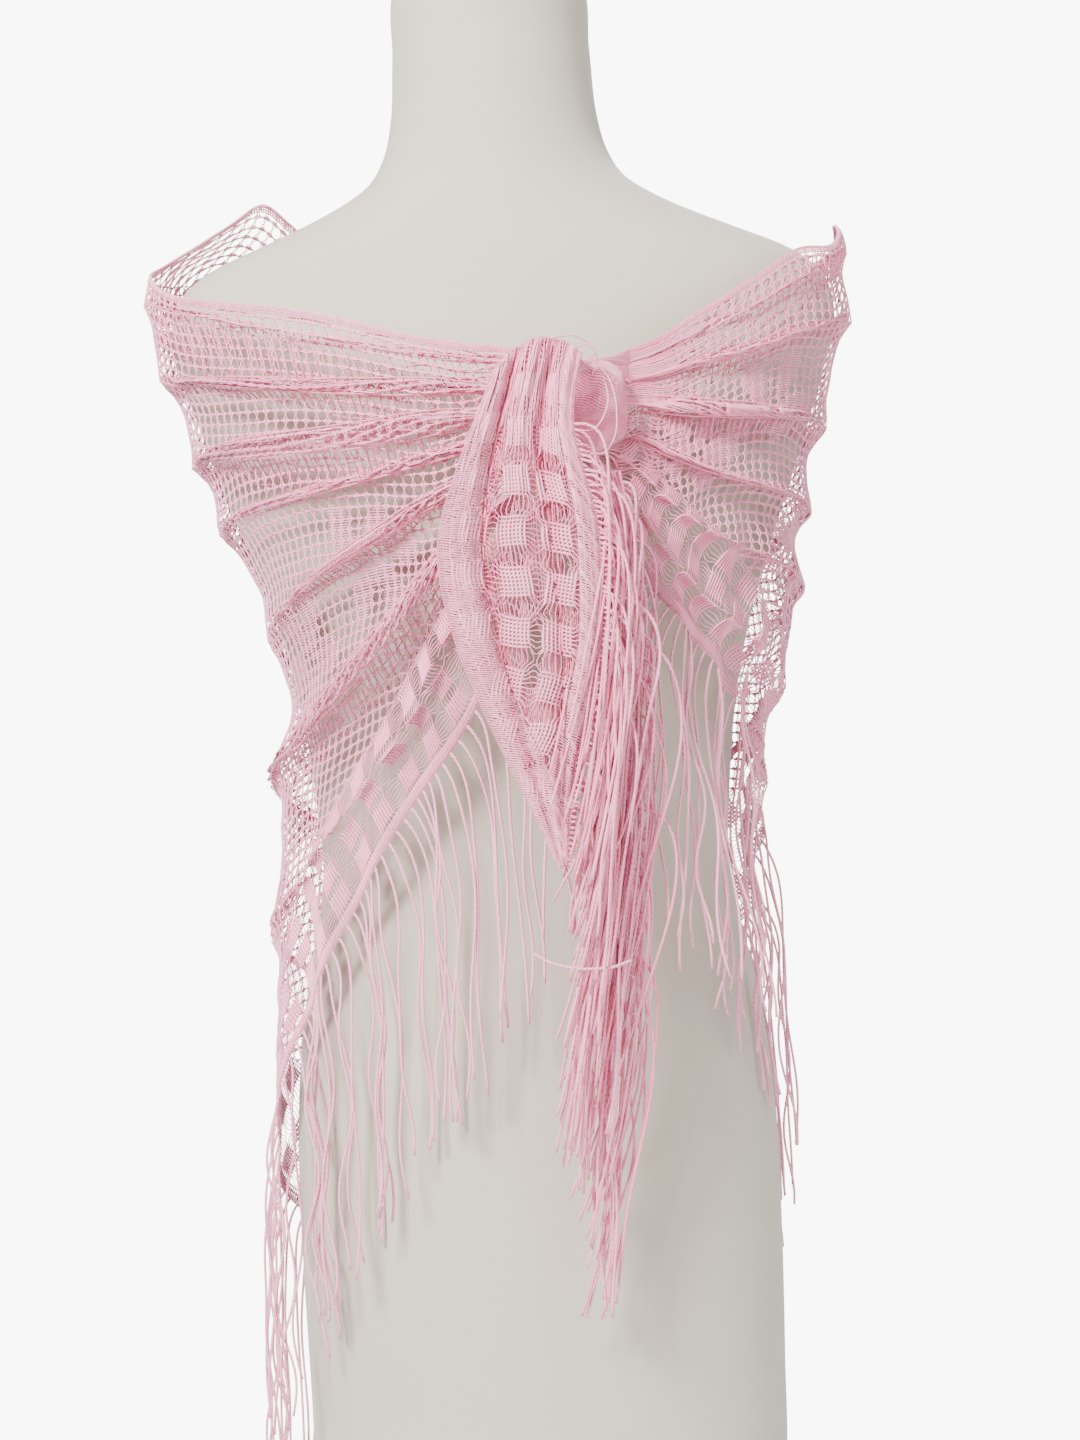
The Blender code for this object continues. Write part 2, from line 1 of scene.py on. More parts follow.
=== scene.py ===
"""The looks of a lace triangle scarf, knotted round the shoulders of a limbless dress form.

The scarf is one flat triangle.  A place on it is given as "at", metres along its long edge from
the left tip, and "across", metres from the long edge towards the fringed corner.  The drape
carries such a place to its point in the air, and every thread of the lace is a real tube that
runs over that drape.  Metres, +Z up, +X to the viewer's right, front towards -Y.
"""

from __future__ import annotations

import logging
from dataclasses import dataclass, field
from enum import Enum

import bpy
import numpy as np
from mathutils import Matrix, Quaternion, Vector

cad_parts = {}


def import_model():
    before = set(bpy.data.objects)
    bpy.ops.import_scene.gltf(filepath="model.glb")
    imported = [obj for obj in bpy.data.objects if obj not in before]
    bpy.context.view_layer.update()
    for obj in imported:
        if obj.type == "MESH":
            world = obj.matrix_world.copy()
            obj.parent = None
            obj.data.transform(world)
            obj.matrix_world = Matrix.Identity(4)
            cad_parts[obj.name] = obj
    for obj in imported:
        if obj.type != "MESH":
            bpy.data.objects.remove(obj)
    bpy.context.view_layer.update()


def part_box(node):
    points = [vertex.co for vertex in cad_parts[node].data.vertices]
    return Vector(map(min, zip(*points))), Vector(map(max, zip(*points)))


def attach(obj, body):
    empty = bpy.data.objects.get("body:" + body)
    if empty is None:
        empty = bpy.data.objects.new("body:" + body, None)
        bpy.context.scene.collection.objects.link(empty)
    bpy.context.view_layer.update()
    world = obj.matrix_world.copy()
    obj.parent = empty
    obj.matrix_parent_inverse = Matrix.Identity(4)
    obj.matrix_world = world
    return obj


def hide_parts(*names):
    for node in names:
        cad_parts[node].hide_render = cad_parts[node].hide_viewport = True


log = logging.getLogger("scarf")

Colour = tuple[float, float, float, float]
Point = tuple[float, float, float]
Socket = bpy.types.NodeSocket

NEARBY = 0.0005
TINY = 1e-9
FULL_TURN = 2.0 * np.pi
SHARP_ANGLE = float(np.radians(40.0))
CORD_SIDES = 5
STRAND_PINK = 0.12
PATCH_SLOPE = 0.06

# The scarf's cut
LONG_EDGE = 1.60
CORNER_SLOPE = 0.78125
HEM_RISE = float(np.hypot(1.0, CORNER_SLOPE))
HEM_COS = 1.0 / HEM_RISE
HEM_SIN = CORNER_SLOPE / HEM_RISE
LEFT_KNOT_AT = 0.385
LEFT_SIDE_AT = 0.682
BACK_MIDDLE_AT = 0.8935
RIGHT_SIDE_AT = 1.105
RIGHT_KNOT_AT = 1.334

# The frame's own sizes that the lace lies on
NECK_POINT = 1.36
WALL = 0.0015
GAP = 0.0003
SEAT = 0.0001
KNOT_SEAT = 0.0006
KNOT_DEPTH = 0.031


def table(columns: str, rows: list[tuple[float, ...]]) -> dict[str, np.ndarray]:
    """Name the columns of a short table of numbers.

    Args:
        columns: The columns' names, parted by blanks.
        rows: One tuple of numbers for each row.

    Returns:
        Each column's numbers under its name.
    """
    return dict(zip(columns.split(), np.array(rows, dtype=float).T))


FORM_SECTIONS = table("height half_width front back", [
    (0.125, 0.0520, 0.054, 0.052),
    (0.121, 0.0550, 0.057, 0.055),
    (0.080, 0.0580, 0.058, 0.058),
    (0.040, 0.0610, 0.059, 0.062),
    (0.018, 0.0670, 0.061, 0.067),
    (0.003, 0.0770, 0.064, 0.073),
    (-0.009, 0.0950, 0.067, 0.077),
    (-0.020, 0.1180, 0.070, 0.081),
    (-0.030, 0.1420, 0.073, 0.084),
    (-0.042, 0.1700, 0.077, 0.087),
    (-0.052, 0.1840, 0.080, 0.089),
    (-0.066, 0.1930, 0.084, 0.092),
    (-0.085, 0.1950, 0.089, 0.095),
    (-0.110, 0.1880, 0.095, 0.099),
    (-0.140, 0.1780, 0.103, 0.102),
    (-0.175, 0.1660, 0.113, 0.102),
    (-0.210, 0.1530, 0.123, 0.099),
    (-0.245, 0.1410, 0.126, 0.094),
    (-0.280, 0.1320, 0.118, 0.088),
    (-0.320, 0.1250, 0.104, 0.081),
    (-0.360, 0.1210, 0.094, 0.076),
    (-0.390, 0.1190, 0.091, 0.076),
    (-0.430, 0.1240, 0.094, 0.084),
    (-0.480, 0.1340, 0.100, 0.096),
    (-0.540, 0.1400, 0.105, 0.105),
    (-0.600, 0.1410, 0.106, 0.106),
    (-0.690, 0.1395, 0.104, 0.104),
    (-0.760, 0.1370, 0.102, 0.102),
    (-0.790, 0.1310, 0.097, 0.097),
    (-0.800, 0.1190, 0.088, 0.088),
])

# Hollows of the draped cloth, before its folds stand out from them
CLOTH_SECTIONS = table("height left right front back", [
    (0.030, 0.150, 0.150, 0.078, 0.076),
    (0.012, 0.163, 0.160, 0.084, 0.080),
    (-0.005, 0.172, 0.170, 0.090, 0.086),
    (-0.020, 0.186, 0.186, 0.097, 0.091),
    (-0.032, 0.199, 0.196, 0.103, 0.096),
    (-0.046, 0.203, 0.198, 0.109, 0.099),
    (-0.073, 0.204, 0.199, 0.118, 0.101),
    (-0.106, 0.194, 0.193, 0.126, 0.100),
    (-0.138, 0.183, 0.183, 0.132, 0.102),
    (-0.168, 0.173, 0.173, 0.137, 0.102),
    (-0.200, 0.162, 0.165, 0.140, 0.103),
    (-0.232, 0.147, 0.161, 0.141, 0.106),
    (-0.265, 0.139, 0.157, 0.138, 0.106),
    (-0.300, 0.132, 0.145, 0.131, 0.106),
    (-0.338, 0.139, 0.134, 0.122, 0.106),
    (-0.384, 0.142, 0.131, 0.116, 0.108),
    (-0.430, 0.145, 0.137, 0.115, 0.110),
    (-0.500, 0.149, 0.145, 0.118, 0.116),
    (-0.600, 0.152, 0.150, 0.122, 0.121),
    (-0.760, 0.156, 0.154, 0.126, 0.126),
])

# Where the long edge and the fringed edge run round the form; angles count from the front and
# fall towards the viewer's left
HANG = table("at top_angle top_height hem_angle hem_height", [
    (0.385, 6, -0.114, 12, -0.186),
    (0.411, -4, -0.108, -1, -0.262),
    (0.444, -13, -0.100, -13, -0.317),
    (0.493, -25.5, -0.086, -27, -0.362),
    (0.535, -38, -0.075, -40, -0.408),
    (0.574, -51, -0.066, -52, -0.452),
    (0.613, -66, -0.056, -63, -0.490),
    (0.645, -80, -0.045, -78, -0.540),
    (0.664, -90, -0.039, -90, -0.560),
    (0.682, -100, -0.032, -100, -0.576),
    (0.705, -110, -0.012, -110, -0.597),
    (0.735, -122, 0.006, -124, -0.624),
    (0.765, -136, -0.008, -140, -0.642),
    (0.800, -152, -0.016, -153, -0.650),
    (0.845, -170, -0.020, -170, -0.618),
    (0.890, -187, -0.020, -186, -0.580),
    (0.940, -205, -0.022, -203, -0.540),
    (0.990, -222, -0.030, -220, -0.502),
    (1.035, -238, -0.038, -236, -0.464),
    (1.075, -250, -0.041, -250, -0.430),
    (1.105, -260, -0.036, -260, -0.404),
    (1.123, -270, -0.029, -273, -0.378),
    (1.163, -289, -0.043, -296, -0.328),
    (1.199, -303.6, -0.052, -311, -0.296),
    (1.230, -314.3, -0.068, -321, -0.274),
    (1.274, -326.7, -0.090, -331, -0.247),
    (1.316, -337, -0.111, -339, -0.213),
    (1.334, -344, -0.120, -345, -0.188),
])

# Ridges of the folds that run out of the knot, at the left knot, left breast, left side, back,
# right side, right breast and right knot
FOLD_STATIONS = np.array([0.385, 0.500, 0.664, 0.890, 1.123, 1.250, 1.334])
FOLD_SPREAD = np.array([0.0045, 0.0110, 0.0130, 0.0145, 0.0120, 0.0110, 0.0045])
FOLD_STEEPNESS = (1.25, 0.75)
FOLDS = {
    "collar roll": ((-0.120, -0.098, -0.057, -0.050, -0.045, -0.092, -0.124),
                    (0.004, 0.009, 0.005, 0.007, 0.005, 0.008, 0.004)),
    "upper band": ((-0.132, -0.124, -0.104, -0.092, -0.085, -0.114, -0.132),
                   (0.005, 0.012, 0.006, 0.008, 0.006, 0.011, 0.005)),
    "breast band": ((-0.144, -0.152, -0.155, -0.185, -0.148, -0.144, -0.142),
                    (0.005, 0.017, 0.007, 0.012, 0.006, 0.014, 0.005)),
    "lower band": ((-0.156, -0.176, -0.196, -0.250, -0.196, -0.176, -0.154),
                   (0.005, 0.010, 0.006, 0.012, 0.009, 0.012, 0.005)),
    "waist ridge": ((-0.166, -0.210, -0.262, -0.325, -0.240, -0.206, -0.165),
                    (0.005, 0.013, 0.004, 0.014, 0.007, 0.010, 0.005)),
    "great pleat": ((-0.175, -0.262, -0.338, -0.410, -0.300, -0.238, -0.174),
                    (0.005, 0.018, 0.010, 0.013, 0.006, 0.010, 0.005)),
    "hip ridge": ((-0.182, -0.322, -0.430, -0.490, -0.352, -0.262, -0.182),
                  (0.004, 0.009, 0.006, 0.010, 0.004, 0.005, 0.004)),
}
# How far each of these folds sags over itself, at the places along the long edge
SLUMP_STATIONS = np.array([0.385, 0.410, 0.470, 0.600, 0.664, 0.760, 1.040, 1.123, 1.180, 1.290, 1.334])
SLUMPS = np.array([
    (0.003, 0.008, 0.014, 0.012, 0.005, 0.007, 0.007, 0.004, 0.009, 0.009, 0.003),
    (0.004, 0.012, 0.020, 0.016, 0.005, 0.005, 0.005, 0.005, 0.014, 0.014, 0.004),
    (0.004, 0.014, 0.026, 0.023, 0.008, 0.011, 0.011, 0.005, 0.019, 0.018, 0.004),
    (0.004, 0.011, 0.016, 0.014, 0.007, 0.008, 0.008, 0.005, 0.014, 0.014, 0.004),
    (0.004, 0.011, 0.018, 0.012, 0.005, 0.012, 0.011, 0.004, 0.009, 0.011, 0.004),
    (0.004, 0.014, 0.027, 0.027, 0.011, 0.011, 0.011, 0.005, 0.011, 0.011, 0.004),
    (0.000, 0.000, 0.008, 0.014, 0.008, 0.008, 0.008, 0.005, 0.000, 0.000, 0.000),
])
# How wide a strip of cloth lies tucked in behind each of these folds, at the folds' stations
TUCKS = np.array([
    (0.018, 0.047, 0.039, 0.018, 0.023, 0.036, 0.016),
    (0.012, 0.022, 0.018, 0.016, 0.018, 0.023, 0.012),
    (0.016, 0.031, 0.023, 0.021, 0.021, 0.029, 0.016),
    (0.008, 0.012, 0.012, 0.013, 0.013, 0.016, 0.008),
    (0.009, 0.019, 0.016, 0.018, 0.013, 0.016, 0.009),
    (0.016, 0.039, 0.031, 0.021, 0.018, 0.023, 0.013),
    (0.005, 0.016, 0.013, 0.016, 0.010, 0.007, 0.004),
])
FLUTES = table("at pitch depth", [
    (0.385, 0.050, 0.000),
    (0.493, 0.050, 0.004),
    (0.664, 0.055, 0.007),
    (0.890, 0.060, 0.017),
    (1.105, 0.055, 0.010),
    (1.250, 0.050, 0.005),
    (1.334, 0.050, 0.000),
])

# The front tail: its outline, and how far it stands before the knot's face
FRONT_TAIL = table("height left right forward", [
    (-0.1155, 0.0040, 0.0420, -0.0260),
    (-0.1105, 0.0010, 0.0420, -0.0150),
    (-0.1125, -0.0020, 0.0415, -0.0060),
    (-0.1220, -0.0060, 0.0400, -0.0004),
    (-0.1380, -0.0110, 0.0370, 0.0000),
    (-0.1550, -0.0175, 0.0360, 0.0000),
    (-0.1800, -0.0270, 0.0400, 0.0000),
    (-0.2040, -0.0350, 0.0455, 0.0006),
    (-0.2250, -0.0380, 0.0470, 0.0000),
    (-0.2680, -0.0310, 0.0460, -0.0010),
    (-0.3000, -0.0200, 0.0400, -0.0040),
    (-0.3340, -0.0060, 0.0300, -0.0060),
    (-0.3650, 0.0080, 0.0250, -0.0075),
    (-0.3900, 0.0180, 0.0230, -0.0085),
])
# The back tail: narrower, hanging from under the knot
BACK_TAIL = table("height left right forward", [
    (-0.1820, 0.0260, 0.0600, -0.0160),
    (-0.2200, 0.0340, 0.0660, -0.0190),
    (-0.2600, 0.0410, 0.0680, -0.0220),
    (-0.3100, 0.0440, 0.0660, -0.0250),
    (-0.3700, 0.0430, 0.0600, -0.0280),
    (-0.4300, 0.0420, 0.0530, -0.0300),
    (-0.4690, 0.0420, 0.0470, -0.0310),
])

# Loose strands round the knot: x, height over the neck point, and how far before the knot's face
LOOSE_LOOPS = (
    ((0.015, -0.118, -0.006), (0.024, -0.1125, 0.000), (0.036, -0.1110, 0.003),
     (0.046, -0.1150, 0.000), (0.050, -0.1230, -0.006), (0.047, -0.1310, -0.008)),
    ((0.034, -0.1250, 0.000), (0.038, -0.1185, 0.005), (0.045, -0.1165, 0.006),
     (0.049, -0.1205, 0.005), (0.044, -0.1250, 0.003), (0.040, -0.1300, 0.001)),
    ((0.0490, -0.1240, -0.013), (0.0560, -0.1340, -0.003), (0.0590, -0.1500, 0.004),
     (0.0575, -0.1650, 0.005), (0.0500, -0.1740, 0.006), (0.0400, -0.1720, 0.006),
     (0.0330, -0.1640, 0.004)),
    ((0.0530, -0.1300, -0.013), (0.0550, -0.1440, 0.000), (0.0500, -0.1580, 0.008),
     (0.0420, -0.1620, 0.008), (0.0350, -0.1560, 0.006)),
)
# One cord that lies across the bundle
LYING_CORD = ((0.0035, -0.4345, 0.004), (0.0120, -0.4390, 0.008), (0.0260, -0.4425, 0.010),
              (0.0410, -0.4430, 0.008), (0.0545, -0.4400, 0.003))


def smooth(at: np.ndarray, stations: np.ndarray, values: np.ndarray) -> np.ndarray:
    """Read a smooth curve through a table: cubic pieces whose slopes never overshoot a row.

    Args:
        at: Places to read the curve at; beyond the table's ends its end values hold.
        stations: The rows' places, rising or falling.
        values: The rows' values.

    Returns:
        The curve's values.
    """
    stations = np.asarray(stations, dtype=float)
    values = np.asarray(values, dtype=float)
    if stations[0] > stations[-1]:
        stations, values = stations[::-1], values[::-1]
    at = np.clip(np.asarray(at, dtype=float), stations[0], stations[-1])
    steps = np.diff(stations)
    rises = np.diff(values) / steps
    slopes = np.concatenate([rises[:1], 0.5 * (rises[:-1] + rises[1:]), rises[-1:]])
    turning = rises[:-1] * rises[1:] <= 0.0
    slopes[1:-1][turning] = 0.0
    cell = np.clip(np.searchsorted(stations, at, side="right") - 1, 0, len(steps) - 1)
    step = steps[cell]
    part = (at - stations[cell]) / step
    rest = 1.0 - part
    start = values[cell] * (1.0 + 2.0 * part) * rest ** 2
    end = values[cell + 1] * (3.0 - 2.0 * part) * part ** 2
    leaning = step * (slopes[cell] * part * rest ** 2 - slopes[cell + 1] * rest * part ** 2)
    return start + end + leaning


def unit(vectors: np.ndarray) -> np.ndarray:
    """Vectors of length one, in the same directions; a vector of no length stays as it is."""
    return vectors / np.maximum(np.linalg.norm(vectors, axis=-1, keepdims=True), TINY)


def even_noise(places: np.ndarray, seed: int) -> np.ndarray:
    """A smooth uneven curve between -1 and 1: three sine waves whose lengths share no measure.

    Args:
        places: Where to read it; it rolls over about once for each whole number.
        seed: Which curve to read.

    Returns:
        The curve's values.
    """
    rng = np.random.default_rng(seed)
    phases = rng.uniform(0.0, FULL_TURN, 3)
    rates = np.array([1.0, 1.73, 2.61]) * rng.uniform(0.85, 1.15, 3)
    waves = np.sin(FULL_TURN * places[..., None] * rates + phases)
    return waves @ np.array([0.5, 0.3, 0.2])


def sines(first: np.ndarray, second: np.ndarray, waves: tuple[Point, ...]) -> np.ndarray:
    """Sum of sine waves over two coordinates.

    Args:
        first: The first coordinate.
        second: The second coordinate.
        waves: Each wave's height, and how fast it turns with either coordinate.

    Returns:
        The sum of height sin(a first + b second).
    """
    return sum(height * np.sin(fast * first + slow * second) for height, fast, slow in waves)


@dataclass
class FormShape:
    """The dress form's own surface: half ellipses of the sections' widths and depths."""

    sections: dict[str, np.ndarray] = field(default_factory=lambda: FORM_SECTIONS)

    def reach(self, height: np.ndarray, side: str) -> np.ndarray:
        """Half width, front depth or back depth at heights over the neck point."""
        return smooth(height, self.sections["height"], self.sections[side])

    def off(self, points: np.ndarray, clearance: float) -> np.ndarray:
        """Move points straight out until they lie clear of the form.

        Args:
            points: Points in the air, in an array whose last axis is x, y, z.
            clearance: How far off the form they stay.

        Returns:
            The moved points.
        """
        height = points[..., 2] - NECK_POINT
        wide = self.reach(height, "half_width") + clearance
        front, back = self.reach(height, "front"), self.reach(height, "back")
        deep = np.where(points[..., 1] < 0.0, front, back) + clearance
        inside = np.hypot(points[..., 0] / wide, points[..., 1] / deep)
        inside = np.where(height > self.sections["height"][-1], inside, 1.0)
        scale = 1.0 / np.clip(inside, 0.2, 1.0)
        return points * np.stack([scale, scale, np.ones_like(scale)], axis=-1)


@dataclass
class Drape:
    """How the flat scarf lies round the shoulders.

    A place's share of the way down from the long edge to the hem, "down", gives its height and
    angle.  The cloth's spare length is taken up where the folds are, so its rows crowd there.
    """

    form: FormShape = field(default_factory=FormShape)
    stations: int = 260
    steps: int = 260
    border_depth: float = 0.072
    crowding_relief: float = 0.011
    crowding_limit: float = 7.0
    deep_relief: float = 0.014
    sinking: float = 0.2
    slump_spread: float = 0.80
    crease_depth: float = 0.0030
    crease_reach: float = 0.060
    crease_pitches: tuple[float, float] = (0.031, 0.0185)
    still_depth: float = 0.0009

    def __post_init__(self) -> None:
        """Work out, for a grid of places, how far down the cloth's real length reaches."""
        self.grid_at = np.linspace(LEFT_KNOT_AT, RIGHT_KNOT_AT, self.stations)
        down = np.linspace(0.0, 1.0, self.steps)
        at = self.grid_at[:, None]
        points = self.hollow(at, down[None], True)
        lengths = np.linalg.norm(np.diff(points, axis=1), axis=-1)
        middle = 0.5 * (down[1:] + down[:-1])[None]
        height = self.height(at, middle)
        to_hem = lengths[:, ::-1].cumsum(axis=1)[:, ::-1]
        folded = np.clip(self.fold_relief(at, height) / self.crowding_relief, 0.25, 1.3) ** 3
        folded *= np.clip((to_hem - self.border_depth) / 0.02, 0.0, 1.0)
        spare = self.depth(self.grid_at) - lengths.sum(axis=1)
        crowding = np.clip(spare / (folded * lengths).sum(axis=1), 0.0, self.crowding_limit)
        real = lengths * (1.0 + crowding[:, None] * folded)
        share = np.concatenate([np.zeros((self.stations, 1)), real.cumsum(axis=1)], axis=1)
        share /= share[:, -1:]
        even = np.linspace(0.0, 1.0, self.steps)
        self.grid_down = np.stack([np.interp(even, row, down) for row in share])

    @staticmethod
    def depth(at: np.ndarray) -> np.ndarray:
        """The flat scarf's depth, from the long edge to the hem."""
        return CORNER_SLOPE * np.minimum(at, LONG_EDGE - at)

    def height(self, at: np.ndarray, down: np.ndarray) -> np.ndarray:
        """Height over the neck point, before the folds pull it down."""
        top = smooth(at, HANG["at"], HANG["top_height"])
        return top + (smooth(at, HANG["at"], HANG["hem_height"]) - top) * down

    def cloth_reach(self, height: np.ndarray, side: str) -> np.ndarray:
        """Reach of the hollows: the drape's own, or the form's with the cloth lying on it."""
        form_side = "half_width" if side in ("left", "right") else side
        own = smooth(height, CLOTH_SECTIONS["height"], CLOTH_SECTIONS[side])
        return np.maximum(own, self.form.reach(height, form_side) + WALL + SEAT)

    @staticmethod
    def fold_relief(at: np.ndarray, height: np.ndarray) -> np.ndarray:
        """How far the folds stand out: bells that fall away gently above and steeply below."""
        spread = smooth(at, FOLD_STATIONS, FOLD_SPREAD)
        relief = np.zeros(np.broadcast(at, height).shape)
        for heights, depths in FOLDS.values():
            off = height - smooth(at, FOLD_STATIONS, heights)
            reach = spread * np.where(off > 0.0, FOLD_STEEPNESS[0], FOLD_STEEPNESS[1])
            ridge = smooth(at, FOLD_STATIONS, depths) * np.exp(-(off / reach) ** 2)
            relief = np.maximum(relief, ridge) + 0.25 * np.minimum(relief, ridge)
        return relief

    @staticmethod
    def flute_relief(at: np.ndarray, down: np.ndarray) -> np.ndarray:
        """How far the hem's flutes stand out: a cosine along the hem times down cubed."""
        depth = smooth(at, FLUTES["at"], FLUTES["depth"])
        pitch = smooth(at, FLUTES["at"], FLUTES["pitch"])
        wave = 0.5 - 0.5 * np.cos(FULL_TURN * (at - LEFT_KNOT_AT) / pitch)
        return depth * wave * np.clip(down, 0.0, 1.0) ** 3

    def slump(self, at: np.ndarray, height: np.ndarray) -> np.ndarray:
        """How far the cloth sags at each fold: down above the ridge and up below it.

        The sum of -depth u exp(-u squared), where u is the height over the ridge in spreads, so
        that a fold with more depth than spread lies over itself in three layers.
        """
        spread = self.slump_spread * smooth(at, FOLD_STATIONS, FOLD_SPREAD)
        sag = np.zeros(np.broadcast(at, height).shape)
        for (heights, _), depths in zip(FOLDS.values(), SLUMPS):
            over = (height - smooth(at, FOLD_STATIONS, heights)) / spread
            sag -= smooth(at, SLUMP_STATIONS, depths) * over * np.exp(-over ** 2)
        return sag

    def hollow(self, at: np.ndarray, down: np.ndarray, slumped: bool = False) -> np.ndarray:
        """Points of the drape: half ellipses round the body, with folds and flutes set on them.

        Args:
            at: Metres along the long edge.
            down: Share of the way from the long edge to the hem.
            slumped: Whether the folds sag over themselves.

        Returns:
            The points, in an array whose last axis is x, y, z.
        """
        at, down = np.broadcast_arrays(np.asarray(at, float), np.asarray(down, float))
        top = smooth(at, HANG["at"], HANG["top_angle"])
        angle = np.radians(top + (smooth(at, HANG["at"], HANG["hem_angle"]) - top) * down)
        height = self.height(at, down)
        relief = self.fold_relief(at, height) + self.flute_relief(at, down)
        if slumped:
            height = height + self.slump(at, height)
        wide = np.where(np.sin(angle) < 0.0, self.cloth_reach(height, "left"),
                        self.cloth_reach(height, "right"))
        deep = np.where(np.cos(angle) > 0.0, self.cloth_reach(height, "front"),
                        self.cloth_reach(height, "back"))
        lean_x, lean_y = np.sin(angle) / wide, -np.cos(angle) / deep
        lean = np.hypot(lean_x, lean_y)
        x = wide * np.sin(angle) + relief * lean_x / lean
        y = -deep * np.cos(angle) + relief * lean_y / lean
        return np.stack([x, y, NECK_POINT + height - self.sinking * relief], axis=-1)

    def down_of(self, at: np.ndarray, across: np.ndarray) -> np.ndarray:
        """Share of the way down at a flat place, read from the grid between its four nearest."""
        share = np.clip(across / self.depth(at), 0.0, 1.0) * (self.steps - 1)
        row = (at - self.grid_at[0]) / (self.grid_at[-1] - self.grid_at[0]) * (self.stations - 1)
        row = np.clip(row, 0.0, self.stations - 1)
        low_row = np.minimum(row.astype(int), self.stations - 2)
        low = np.minimum(share.astype(int), self.steps - 2)
        part_row, part = row - low_row, share - low
        near, far = (self.grid_down[line, low] * (1.0 - part) + self.grid_down[line, low + 1] * part
                     for line in (low_row, low_row + 1))
        return near * (1.0 - part_row) + far * part_row

    def gathering(self, at: np.ndarray) -> np.ndarray:
        """How tightly the cloth is gathered: one at the knots, dying out away from them."""
        away = np.minimum(at - LEFT_KNOT_AT, RIGHT_KNOT_AT - at)
        return np.exp(-np.maximum(away, 0.0) / self.crease_reach)

    def creases(self, at: np.ndarray, across: np.ndarray) -> np.ndarray:
        """Fine creases that run out of the knots along the rows: two waves of uneven length."""
        drift = even_noise(at * 4.0, 21) * 0.010
        wide, narrow = self.crease_pitches
        first = 0.5 + 0.5 * np.cos(FULL_TURN * (across + drift) / wide)
        second = 0.5 + 0.5 * np.cos(FULL_TURN * (across - 1.4 * drift) / narrow + 1.1)
        depth = self.still_depth + self.crease_depth * self.gathering(at)
        fade = np.clip((self.depth(at) - across) / 0.05, 0.25, 1.0)
        return depth * fade * (0.62 * first + 0.38 * second)

    def placed(self, at: np.ndarray, down: np.ndarray) -> tuple[np.ndarray, np.ndarray]:
        """Points and outward normals of the sagging folds at shares of the way down."""
        sideways = self.hollow(at + NEARBY, down) - self.hollow(at - NEARBY, down)
        downwards = self.hollow(at, down + NEARBY) - self.hollow(at, down - NEARBY)
        normal = unit(np.cross(sideways, downwards))
        points = self.hollow(at, down, True)
        outwards = np.sign((normal[..., :2] * points[..., :2]).sum(axis=-1, keepdims=True))
        return points, normal * np.where(outwards == 0.0, 1.0, outwards)

    def surface(self, at: np.ndarray, across: np.ndarray) -> tuple[np.ndarray, np.ndarray]:
        """Points and outward normals of the creased cloth at flat places.

        Args:
            at: Metres along the long edge.
            across: Metres from the long edge.

        Returns:
            The points and the unit normals.
        """
        at, across = np.broadcast_arrays(np.asarray(at, float), np.asarray(across, float))
        points, normal = self.placed(at, self.down_of(at, across))
        return points + normal * self.creases(at, across)[..., None], normal

    def layers_and_shade(self, at: np.ndarray, across: np.ndarray) -> np.ndarray:
        """How deep the pink looks: more where the cloth is gathered or folded on itself."""
        height = self.height(at, self.down_of(at, across))
        folded = np.clip(self.fold_relief(at, height) / self.deep_relief, 0.0, 1.0)
        return np.clip(0.55 * self.gathering(at) + 0.30 * folded, 0.0, 1.0)


def put(data: bpy.types.ID) -> bpy.types.Object:
    """Link an object of this data into the scene, under the data's own name."""
    made = bpy.data.objects.new(data.name, data)
    bpy.context.scene.collection.objects.link(made)
    return made


def dress(piece: bpy.types.Object, slot: str, *nodes: str) -> bpy.types.Object:
    """Fasten a piece to the body and hide the nodes it stands for."""
    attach(piece, "root")
    if nodes:
        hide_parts(*nodes)
    return piece


